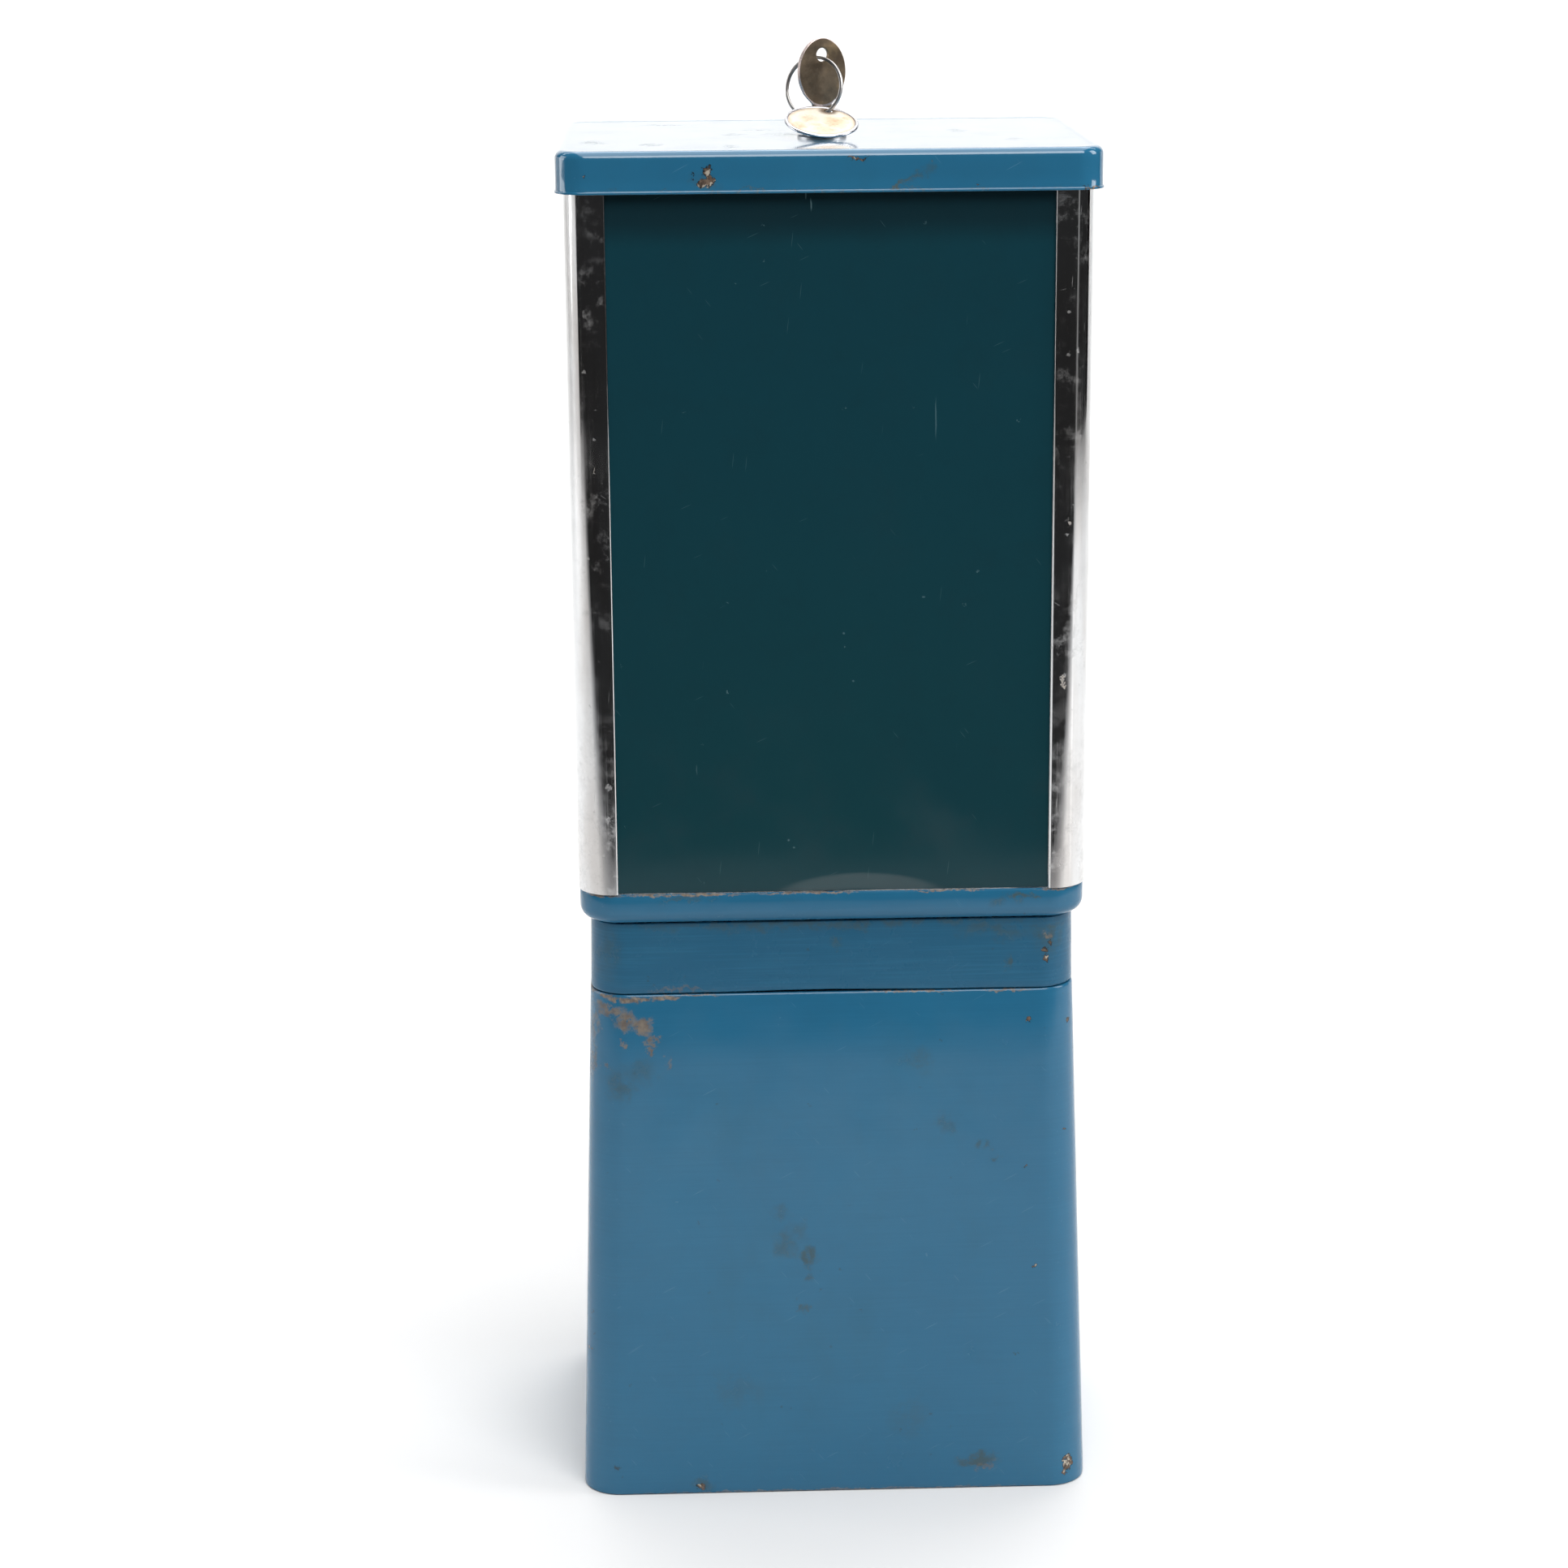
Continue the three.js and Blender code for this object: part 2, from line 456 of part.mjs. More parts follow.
// hood and brush over the exit pocket
{
  const a0 = THREE.MathUtils.degToRad(EXIT_DEG);
  const arc = (r, a) => [r * Math.cos(a), r * Math.sin(a)];
  const sector = (r0, r1, half, n = 8) => {
    const p = [];
    for (let i = 0; i <= n; i++) p.push(arc(r1, a0 - half + (2 * half * i) / n));
    for (let i = n; i >= 0; i--) p.push(arc(r0, a0 - half + (2 * half * i) / n));
    return p;
  };
  put('brush_hood', join(
    slab(sector(15, 60, 0.5), 254.5, 256),
    slab(sector(57.4, 60, 0.5), TRAY_FLOOR_Z + 5.2, 255),
  ), STEEL);
  put('exit_brush', slab(sector(16.5, 46, 0.14), WHEEL_Z1 + 1.2, 254.2), BRISTLE);
}

// ---------------------------------------------------------------- coin mechanism
{
  const { hw, z0, z1, r, y0, y1, t } = MECH;
  const zc = (z0 + z1) / 2, h = z1 - z0;
  const outline = (k) => ringPoints(2 * (hw - k), h - 2 * k, r - k, 6).map(([x, z]) => [x, z + zc]);
  put('mech_housing', cut(
    slabY(outline(0), y0, y1),
    slabY(outline(t), y0 - 1, y1 - t),
    box(-13, 13, -84.7, -81.4, z1 - t - 3, z1 + 1),       // coin slot in the top
    cylY(SHAFT_R + GAP, -80, -60, 0, SHAFT_Z, 24),
    box(-14, 14, -80, -60, 175, 189),                     // coin drop in the back
  ), CHROME);
  const face = join(
    slabY(outline(0), y0 - 2.8, y0 - GAP),
    cylY(13, y0 - 4.4, y0 - 2.5, 0, SHAFT_Z, 40, 11.8),
  );
  put('mech_faceplate', cut(face,
    cylY(SHAFT_R + GAP, -100, -80, 0, SHAFT_Z, 24),
    cylY(1.8, -100, -80, -20, z0 + 12, 16), cylY(1.8, -100, -80, 20, z0 + 12, 16),
    cylY(1.8, -100, -80, -20, z1 - 12, 16), cylY(1.8, -100, -80, 20, z1 - 12, 16),
  ), CHROME);
  [['upper_left', -20, z1 - 12], ['upper_right', 20, z1 - 12], ['lower_left', -20, z0 + 12], ['lower_right', 20, z0 + 12]].forEach(([n, x, z]) => {
    put('mech_screw_' + n, cut(
      join(cylY(3.1, y0 - 4.6, y0 - 3.1, x, z, 24), cylY(1.5, y0 - 3.5, y0 + 2, x, z, 16)),
      box(x - 4, x + 4, y0 - 5, y0 - 4.1, z - 0.4, z + 0.4),
    ), STEEL);
  });

  // moving train on the handle shaft
  put('handle_shaft', cylY(SHAFT_R, -101, -44.5, 0, SHAFT_Z, 24), STEEL);
  const bore = (y0b, y1b) => cylY(SHAFT_R + GAP, y0b, y1b, 0, SHAFT_Z, 24);
  const wings = [[-26, 0], [-24.5, -5.5], [-20, -7.2], [-12, -6.2], [0, -5], [12, -6.2], [20, -7.2], [24.5, -5.5],
    [26, 0], [24.5, 5.5], [20, 7.2], [12, 6.2], [0, 5], [-12, 6.2], [-20, 7.2], [-24.5, 5.5]].map(([x, z]) => [x, SHAFT_Z + z]);
  put('handle', cut(
    join(cylY(11, -99, y0 - 4.9, 0, SHAFT_Z, 40, 12.4), cylY(9.5, -107, -98.2, 0, SHAFT_Z, 40, 10.3), slabY(wings, -109, -97.5)),
    cylY(SHAFT_R + GAP, -101.4, -80, 0, SHAFT_Z, 24),
    cylY(2.3, -112, -100, 0, SHAFT_Z, 16),
  ), CHROME);
  put('handle_screw', cut(
    join(cylY(4, -110.6, -109.3, 0, SHAFT_Z, 24), cylY(2, -109.6, -101.4, 0, SHAFT_Z, 16)),
    box(-5, 5, -111, -110.1, SHAFT_Z - 0.5, SHAFT_Z + 0.5),
  ), STEEL);
  put('coin_carrier', cut(
    cylY(21, -84, -78.2, 0, SHAFT_Z, 48), bore(-90, -70),
    cylY(12.7, -86, -81.4, 0, SHAFT_Z + 17.4, 28),
  ), BRASS);

  const teeth = 12, rt = [];
  for (let i = 0; i < teeth; i++) {
    const a = (i / teeth) * 2 * Math.PI;
    rt.push([17 * Math.cos(a), SHAFT_Z + 17 * Math.sin(a)]);
    rt.push([13.6 * Math.cos(a + 0.08), SHAFT_Z + 13.6 * Math.sin(a + 0.08)]);
  }
  put('ratchet_wheel', cut(slabY(rt, -77.7, -75.4), bore(-90, -70)), STEEL);

  let pinion = cylY(7.4, -53, -47, 0, SHAFT_Z, 32);
  for (let i = 0; i < PINION_TEETH; i++) {
    const t1 = slabY([[-1.9, SHAFT_Z + 6.6], [1.9, SHAFT_Z + 6.6], [0.95, SHAFT_Z + 11.5], [-0.95, SHAFT_Z + 11.5]], -53, -47);
    pinion = join(pinion, turned(t1, Y, (i / PINION_TEETH) * 2 * Math.PI, new THREE.Vector3(0, 0, SHAFT_Z)));
  }
  put('drive_pinion', cut(pinion, bore(-60, -40)), BRASS);

  // pawl that keeps the ratchet from running back
  const px = -21.5, pz = 183.5;
  put('pawl_pin', cylY(1.4, -81, -74.4, px, pz, 16), STEEL);
  put('pawl', cut(
    join(cylY(3.4, -77.7, -75.4, px, pz, 24), slabY([[px - 1, pz + 3], [px + 2.6, pz - 1.8], [px + 8.9, pz + 5.3], [px + 7.6, pz + 7.2]], -77.7, -75.4)),
    cylY(1.7, -90, -70, px, pz, 16),
  ), STEEL);
}

// ---------------------------------------------------------------- chute mouth
{
  const { y, z, r } = DOOR_PIN;
  const bezelOut = ringPoints(68, 66, 8, 6).map(([x, zz]) => [x, zz + 44.5]);
  put('chute_bezel', cut(
    slabY(bezelOut, -81.2, -76.6),
    box(-25, 25, -90, -70, 22, 69),
    cylX(r + GAP, -31, 31, y, z, 16),
  ), CHROME);
  put('chute_hinge_pin', cylX(r, -30.6, 30.6, y, z, 16), STEEL);
  put('chute_door', cut(
    join(
      box(-24.4, 24.4, y - 0.9, y + 0.9, 23.4, z),
      cylX(2.7, -24.4, 24.4, y, z, 20),
      box(-14, 14, y - 6.5, y + 0.2, 24.5, 26.2),
    ),
    cylX(r + GAP, -30, 30, y, z, 16),
  ), CHROME);
}

export default group;
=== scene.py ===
import math

import bmesh
import bpy
import numpy as np
from mathutils import Matrix, Vector, noise


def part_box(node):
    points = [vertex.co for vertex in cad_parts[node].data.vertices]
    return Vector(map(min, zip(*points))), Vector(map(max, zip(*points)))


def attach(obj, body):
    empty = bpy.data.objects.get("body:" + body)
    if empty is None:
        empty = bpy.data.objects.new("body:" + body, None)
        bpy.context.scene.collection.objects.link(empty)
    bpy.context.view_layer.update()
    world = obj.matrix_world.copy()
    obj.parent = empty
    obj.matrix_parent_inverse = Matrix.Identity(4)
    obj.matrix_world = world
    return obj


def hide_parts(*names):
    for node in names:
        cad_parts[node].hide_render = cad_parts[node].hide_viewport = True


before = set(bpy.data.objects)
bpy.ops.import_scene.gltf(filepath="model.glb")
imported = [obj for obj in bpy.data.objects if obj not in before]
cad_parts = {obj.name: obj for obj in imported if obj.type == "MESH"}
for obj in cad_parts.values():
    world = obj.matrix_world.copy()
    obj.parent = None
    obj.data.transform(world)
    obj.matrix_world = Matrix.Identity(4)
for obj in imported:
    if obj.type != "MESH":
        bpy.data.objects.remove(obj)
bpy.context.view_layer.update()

MM = 0.001
V = Vector
LOW = {n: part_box(n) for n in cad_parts}


def span(node):
    """lowest and highest corner of a CAD node, in millimetres"""
    a, b = LOW[node]
    return a / MM, b / MM


# ------------------------------------------------------------------ camera
def set_camera():
    f, pitch, roll, yaw = 4342.0, math.radians(14.93), math.radians(-0.44), math.radians(1.79)
    tx, dist, hc = 16.5, 1375.8, 641.6
    c, s = math.cos(yaw), math.sin(yaw)
    pos = V((c * tx + s * dist, -(s * tx - c * dist), hc)) * MM
    right = V((-c, s, 0))
    ahead = V((-s, -c, 0))
    fwd = math.cos(pitch) * ahead + V((0, 0, -math.sin(pitch)))
    up = math.sin(pitch) * ahead + V((0, 0, math.cos(pitch)))
    cr, sr = math.cos(roll), math.sin(roll)
    ir, iu = cr * right + sr * up, -sr * right + cr * up
    m = Matrix.Identity(4)
    for i in range(3):
        m[i][0], m[i][1], m[i][2], m[i][3] = ir[i], iu[i], -fwd[i], pos[i]
    cam = bpy.data.cameras.new("camera")
    cam.sensor_width, cam.lens = 36.0, f / 1932.0 * 36.0
    cam.clip_start, cam.clip_end = 0.05, 50.0
    o = bpy.data.objects.new("camera", cam)
    bpy.context.scene.collection.objects.link(o)
    o.matrix_world = m
    bpy.context.scene.camera = o


set_camera()


# ------------------------------------------------------------------ node helpers
class Tree:
    """small builder for a material's nodes"""

    def __init__(self, name):
        self.mat = bpy.data.materials.new(name)
        self.mat.use_nodes = True
        self.nt = self.mat.node_tree
        self.nt.nodes.clear()
        self.out = self.nt.nodes.new("ShaderNodeOutputMaterial")
        self.bsdf = self.nt.nodes.new("ShaderNodeBsdfPrincipled")
        self.link(self.bsdf.outputs[0], self.out.inputs[0])
        self.pos = self.nt.nodes.new("ShaderNodeTexCoord").outputs["Object"]

    def link(self, a, b):
        self.nt.links.new(a, b)

    def put(self, sock, v):
        if isinstance(v, bpy.types.NodeSocket):
            self.link(v, sock)
        else:
            sock.default_value = v

    def set(self, **kw):
        for k, v in kw.items():
            self.put(self.bsdf.inputs[k.replace("_", " ")], v)

    def math(self, op, a, b=0.0, c=0.0, clamp=False):
        n = self.nt.nodes.new("ShaderNodeMath")
        n.operation, n.use_clamp = op, clamp
        for i, v in enumerate((a, b, c)):
            self.put(n.inputs[i], v)
        return n.outputs[0]

    def vec(self, op, a, b=(0, 0, 0)):
        n = self.nt.nodes.new("ShaderNodeVectorMath")
        n.operation = op
        self.put(n.inputs[0], a)
        if op == "SCALE":
            self.put(n.inputs["Scale"], b)
        else:
            self.put(n.inputs[1], b)
        return n.outputs["Value"] if op in ("LENGTH", "DISTANCE", "DOT_PRODUCT") else n.outputs["Vector"]

    def stretch(self, sx, sy, sz, rot=(0, 0, 0), src=None):
        """object position turned first, then scaled along the turned axes"""
        v = src or self.pos
        if any(rot):
            n = self.nt.nodes.new("ShaderNodeMapping")
            self.put(n.inputs["Vector"], v)
            n.inputs["Rotation"].default_value = [math.radians(r) for r in rot]
            v = n.outputs[0]
        n = self.nt.nodes.new("ShaderNodeMapping")
        self.put(n.inputs["Vector"], v)
        n.inputs["Scale"].default_value = (sx, sy, sz)
        return n.outputs[0]

    def noise(self, scale, detail=3.0, rough=0.55, src=None, distort=0.0, colour=False):
        n = self.nt.nodes.new("ShaderNodeTexNoise")
        self.put(n.inputs["Vector"], src or self.pos)
        n.inputs["Scale"].default_value = scale
        n.inputs["Detail"].default_value = detail
        n.inputs["Roughness"].default_value = rough
        n.inputs["Distortion"].default_value = distort
        return n.outputs["Color" if colour else "Fac"]

    def voronoi(self, scale, src=None, feature="F1", out="Distance", rand=1.0):
        n = self.nt.nodes.new("ShaderNodeTexVoronoi")
        n.feature = feature
        self.put(n.inputs["Vector"], src or self.pos)
        n.inputs["Scale"].default_value = scale
        n.inputs["Randomness"].default_value = rand
        return n.outputs[out]

    def ramp(self, v, lo, hi, a=0.0, b=1.0, smooth=True):
        n = self.nt.nodes.new("ShaderNodeMapRange")
        n.interpolation_type = "SMOOTHSTEP" if smooth else "LINEAR"
        self.put(n.inputs["Value"], v)
        for k, x in (("From Min", lo), ("From Max", hi), ("To Min", a), ("To Max", b)):
            n.inputs[k].default_value = x
        return n.outputs["Result"]

    def mix(self, fac, a, b, kind="MIX"):
        n = self.nt.nodes.new("ShaderNodeMix")
        n.data_type, n.blend_type = "RGBA", kind
        self.put(n.inputs[0], fac)
        for i, v in ((6, a), (7, b)):
            if isinstance(v, tuple) and len(v) == 3:
                v = (*v, 1.0)
            self.put(n.inputs[i], v)
        return n.outputs[2]

    def mixf(self, fac, a, b):
        n = self.nt.nodes.new("ShaderNodeMix")
        n.data_type = "FLOAT"
        self.put(n.inputs[0], fac)
        self.put(n.inputs[2], a)
        self.put(n.inputs[3], b)
        return n.outputs[0]

    def bump(self, height, strength, distance, normal=None):
        n = self.nt.nodes.new("ShaderNodeBump")
        n.inputs["Strength"].default_value = strength
        n.inputs["Distance"].default_value = distance
        self.put(n.inputs["Height"], height)
        if normal is not None:
            self.link(normal, n.inputs["Normal"])
        return n.outputs[0]

    def shaken(self, scale, amount):
        """the object position pushed about by noise, for ragged outlines"""
        c = self.noise(scale, 4.0, 0.65, colour=True)
        c = self.vec("SUBTRACT", c, (0.5, 0.5, 0.5))
        c = self.vec("SCALE", c, amount * MM)
        return self.vec("ADD", self.pos, c)

    def marks(self, src, spots):
        """greatest of several soft blobs: (x, y, z, rx, ry, rz, soft, strength) in millimetres"""
        total = None
        for x, y, z, rx, ry, rz, soft, k in spots:
            d = self.vec("SUBTRACT", src, (x * MM, y * MM, z * MM))
            d = self.vec("MULTIPLY", d, (1 / (rx * MM), 1 / (ry * MM), 1 / (rz * MM)))
            m = self.ramp(self.vec("LENGTH", d), 1 - soft, 1 + soft * 0.4, k, 0.0)
            total = m if total is None else self.math("MAXIMUM", total, m)
        return total

    def hairs(self, across, along, angle, share, soft=0.16):
        """sparse straight hairlines: long thin cells, a few of which carry a line (sizes in millimetres)"""
        k = 1000.0 / across
        v = self.stretch(k, k, 1000.0 / along, rot=(0, angle, 0))
        n = self.nt.nodes.new("ShaderNodeTexVoronoi")
        self.link(v, n.inputs["Vector"])
        n.inputs["Scale"].default_value = 1.0
        sep = self.nt.nodes.new("ShaderNodeSeparateColor")
        self.link(n.outputs["Color"], sep.inputs[0])
        chosen = self.math("GREATER_THAN", sep.outputs[0], 1.0 - share)
        strength = self.ramp(sep.outputs[1], 0.0, 1.0, 0.35, 1.0, smooth=False)
        line = self.ramp(n.outputs["Distance"], soft, soft * 1.9, 1.0, 0.0)
        return self.math("MULTIPLY", self.math("MULTIPLY", line, chosen), strength)

    def specks(self, size, share, seed=0.0, soft=0.14):
        """sparse small round-ish specks (size of a cell in millimetres)"""
        n = self.nt.nodes.new("ShaderNodeTexVoronoi")
        self.link(self.vec("ADD", self.shaken(900.0, size * 0.9), (seed, seed, seed)), n.inputs["Vector"])
        n.inputs["Scale"].default_value = 1000.0 / size
        sep = self.nt.nodes.new("ShaderNodeSeparateColor")
        self.link(n.outputs["Color"], sep.inputs[0])
        chosen = self.math("GREATER_THAN", sep.outputs[0], 1.0 - share)
        return self.math("MULTIPLY", self.ramp(n.outputs["Distance"], soft, soft * 2.0, 1.0, 0.0), chosen)


def srgb(r, g, b):
    f = lambda c: c / 12.92 if c <= 0.04045 else ((c + 0.055) / 1.055) ** 2.4
    return tuple(f(c / 255) for c in (r, g, b))


# ------------------------------------------------------------------ materials
BLUE_A, BLUE_B = (0.0190, 0.131, 0.244), (0.0222, 0.146, 0.264)


def enamel(name, chips=(), grime_and_shade=(), scuffs=(), lines=(), brushed=0.0, rough=0.17, edge_z=None, tone=1.0, gloss=0.0, ior=1.43):
    t = Tree(name)
    col = t.mix(t.ramp(t.noise(6.0, 3.0, 0.5), 0.3, 0.7), tuple(c * tone for c in BLUE_A), tuple(c * tone for c in BLUE_B))
    mottle = t.noise(55.0, 5.0, 0.68)
    col = t.mix(t.ramp(mottle, 0.38, 0.72, 0.0, 0.22), col, (0.023, 0.117, 0.208))
    cloud = t.ramp(t.noise(19.0, 4.0, 0.6, src=t.stretch(1, 1, 0.55)), 0.54, 0.74, 0.0, 0.22)
    col = t.mix(cloud, col, (0.024, 0.110, 0.170))
    rough_n = t.ramp(t.noise(38.0, 5.0, 0.62), 0.35, 0.75, rough * 0.75, rough * 1.7)
    # orange peel and the drag marks of the brush or cloth
    height = t.noise(420.0, 2.0, 0.5)
    drag = t.noise(1.0, 3.0, 0.6, src=t.stretch(26, 26, 1150))
    if brushed:
        height = t.math("ADD", height, t.math("MULTIPLY", drag, 2.4 * brushed))
        col = t.mix(t.ramp(drag, 0.45, 0.72, 0.0, 0.30 * brushed), col, (0.032, 0.172, 0.294))
        col = t.mix(t.ramp(drag, 0.28, 0.48, 0.26 * brushed, 0.0), col, (0.014, 0.096, 0.184))
    # dark grey-green marks: grime, and on the neck also a painted shade band just under the tray
    if grime_and_shade:
        m = t.marks(t.shaken(150.0, 16.0), grime_and_shade)
        m = t.math("MULTIPLY", m, t.ramp(t.noise(210.0, 5.0, 0.72), 0.30, 0.54))
        col = t.mix(m, col, (0.052, 0.076, 0.070))
        rough_n = t.mixf(m, rough_n, 0.5)
    if scuffs:
        m = t.marks(t.shaken(210.0, 13.0), scuffs)
        m = t.math("MULTIPLY", m, t.ramp(t.noise(330.0, 6.0, 0.75), 0.36, 0.46))
        tone = t.mix(t.ramp(t.noise(260.0, 4.0, 0.7), 0.35, 0.65), (0.120, 0.098, 0.082), (0.205, 0.172, 0.138))
        col = t.mix(m, col, tone)
        rough_n = t.mixf(m, rough_n, 0.55)
        height = t.math("SUBTRACT", height, t.math("MULTIPLY", m, 1.5))
    if lines:
        m = t.marks(t.shaken(240.0, 4.0), lines)
        m = t.math("MULTIPLY", m, t.ramp(t.noise(300.0, 5.0, 0.7), 0.36, 0.48))
        tone = t.mix(t.ramp(t.noise(500.0, 4.0, 0.7), 0.35, 0.65), (0.125, 0.098, 0.076), (0.270, 0.225, 0.178))
        col = t.mix(m, col, tone)
        rough_n = t.mixf(m, rough_n, 0.45)
        height = t.math("SUBTRACT", height, t.math("MULTIPLY", m, 2.0))
    if edge_z:
        # paint rubbed thin along one horizontal edge, all the way round
        z0, z1, much = edge_z
        sp = t.nt.nodes.new("ShaderNodeSeparateXYZ")
        t.link(t.shaken(170.0, 1.6), sp.inputs[0])
        band = t.ramp(sp.outputs["Z"], z0 * MM, z1 * MM)
        m = t.math("MULTIPLY", band, t.ramp(t.noise(46.0, 4.0, 0.7), 0.44, 0.62, 0.0, much))
        col = t.mix(m, col, (0.21, 0.225, 0.215))
        rough_n = t.mixf(m, rough_n, 0.36)
    if chips:
        m = t.marks(t.shaken(330.0, 6.5), chips)
        m = t.math("MULTIPLY", m, t.ramp(t.noise(430.0, 4.0, 0.7), 0.34, 0.42))
        edge, inner = t.ramp(m, 0.10, 0.30), t.ramp(m, 0.42, 0.66)
        rust = t.mix(t.ramp(t.noise(520.0, 5.0, 0.72), 0.36, 0.62), (0.050, 0.032, 0.024), (0.190, 0.135, 0.098))
        worn = t.mix(t.ramp(t.noise(360.0, 3.0, 0.6), 0.53, 0.62), rust, (0.520, 0.470, 0.390))
        col = t.mix(edge, col, (0.016, 0.022, 0.026))
        col = t.mix(inner, col, worn)
        rough_n = t.mixf(inner, rough_n, 0.46)
        height = t.math("SUBTRACT", height, t.math("MULTIPLY", edge, 4.0))
        t.set(Metallic=t.math("MULTIPLY", inner, 0.30))
    dots = t.specks(8.0, 0.030, 0.0, 0.07)
    col = t.mix(t.math("MULTIPLY", dots, 0.8), col, (0.030, 0.045, 0.052))
    dots = t.specks(4.0, 0.035, 0.37, 0.09)
    col = t.mix(t.math("MULTIPLY", dots, 0.6), col, (0.030, 0.070, 0.105))
    fine = t.math("MAXIMUM", t.hairs(0.45, 14.0, 62, 0.016), t.hairs(0.35, 9.0, -40, 0.012))
    col = t.mix(t.math("MULTIPLY", fine, 0.35), col, (0.140, 0.300, 0.420))
    height = t.math("SUBTRACT", height, t.math("MULTIPLY", fine, 0.6))
    n = t.bump(height, 0.22, 0.00004)
    wave = t.bump(t.noise(24.0, 2.0, 0.5), 0.35, 0.0005, n)
    t.set(Base_Color=col, Roughness=rough_n, Normal=wave)
    t.bsdf.inputs["IOR"].default_value = ior
    t.bsdf.inputs["Coat Weight"].default_value = gloss
    t.bsdf.inputs["Coat Roughness"].default_value = 0.06
    t.bsdf.inputs["Coat IOR"].default_value = 1.5
    return t.mat


def polished(name, colour=(0.78, 0.79, 0.80), rough=0.07, smudge=0.22, grain=0.5, spots=(), low_wear=0.0, clouds=0.16, tone=(0.50, 0.46, 0.43), lines=1.0):
    t = Tree(name)
    sm = t.ramp(t.noise(34.0, 5.0, 0.65), 0.42, 0.72)
    fine = t.noise(1.0, 2.0, 0.5, src=t.stretch(1500, 1500, 28))
    r = t.mixf(sm, rough, rough + smudge)
    r = t.math("ADD", r, t.ramp(fine, 0.4, 0.7, 0.0, 0.05))
    col = t.mix(t.ramp(t.noise(90.0, 4.0, 0.6), 0.35, 0.8, 0.0, 0.35), colour, tuple(c * 0.72 for c in colour))
    col = t.mix(t.ramp(t.noise(1.0, 3.0, 0.55, src=t.stretch(70, 70, 10)), 0.40, 0.70, 0.0, 0.55), col, tone)
    # dull whitish film in patches: it scatters light where the clean metal would mirror the dark room
    film = t.math("MULTIPLY", t.ramp(t.noise(150.0, 6.0, 0.74), 0.50, 0.70), t.ramp(t.noise(26.0, 3.0, 0.6), 0.42, 0.66, 0.0, clouds))
    if low_wear:
        z = t.nt.nodes.new("ShaderNodeSeparateXYZ")
        t.link(t.pos, z.inputs[0])
        low = t.ramp(z.outputs["Z"], 0.250, 0.345, 1.0, 0.0)
        patch = t.math("MULTIPLY", low, t.ramp(t.noise(105.0, 6.0, 0.72), 0.43, 0.66))
        film = t.math("MAXIMUM", film, t.math("MULTIPLY", patch, low_wear))
    dots = t.math("MAXIMUM", t.specks(3.4, 0.045), t.specks(8.0, 0.06, 0.61, 0.10))
    line = t.math("MAXIMUM", t.hairs(0.7, 10.0, 4, 0.030 * lines), t.math("MAXIMUM", t.hairs(0.6, 7.0, -55, 0.012 * lines), t.hairs(0.6, 8.0, 80, 0.012 * lines)))
    dull = t.math("MAXIMUM", film, t.math("MAXIMUM", t.math("MULTIPLY", dots, 0.30), t.math("MULTIPLY", line, 0.28)))
    if spots:
        m = t.marks(t.shaken(420.0, 6.0), spots)
        m = t.math("MULTIPLY", m, t.ramp(t.noise(500.0, 4.0, 0.7), 0.36, 0.46))
        col = t.mix(m, col, (0.44, 0.36, 0.27))
        dull = t.math("MAXIMUM", dull, m)
    r = t.mixf(dull, r, 0.55)
    h = t.math("SUBTRACT", t.math("MULTIPLY", fine, 0.25), t.math("MULTIPLY", line, 0.8))
    n = t.bump(h, grain * 0.25, 0.00003)
    n = t.bump(t.noise(20.0, 2.0, 0.5), 0.25, 0.0004, n)
    t.set(Base_Color=col, Roughness=r, Normal=n, Metallic=t.math("SUBTRACT", 1.0, t.math("MULTIPLY", dull, 0.75)))
    return t.mat


def plain_steel(name, colour=(0.52, 0.53, 0.54), rough=0.34, grain=(20, 600, 20), rust=0.12):
    t = Tree(name)
    g = t.noise(1.0, 3.0, 0.6, src=t.stretch(*grain))
    col = t.mix(t.ramp(g, 0.35, 0.7), tuple(c * 0.8 for c in colour), colour)
    stain = t.math("MULTIPLY", t.ramp(t.noise(55.0, 5.0, 0.7), 0.56, 0.74), rust)
    col = t.mix(stain, col, srgb(104, 72, 48))
    r = t.ramp(t.noise(80.0, 4.0, 0.6), 0.3, 0.75, rough * 0.8, rough * 1.35)
    t.set(Base_Color=col, Roughness=r, Normal=t.bump(g, 0.3, 0.00004))
    t.bsdf.inputs["Metallic"].default_value = 1.0
    return t.mat


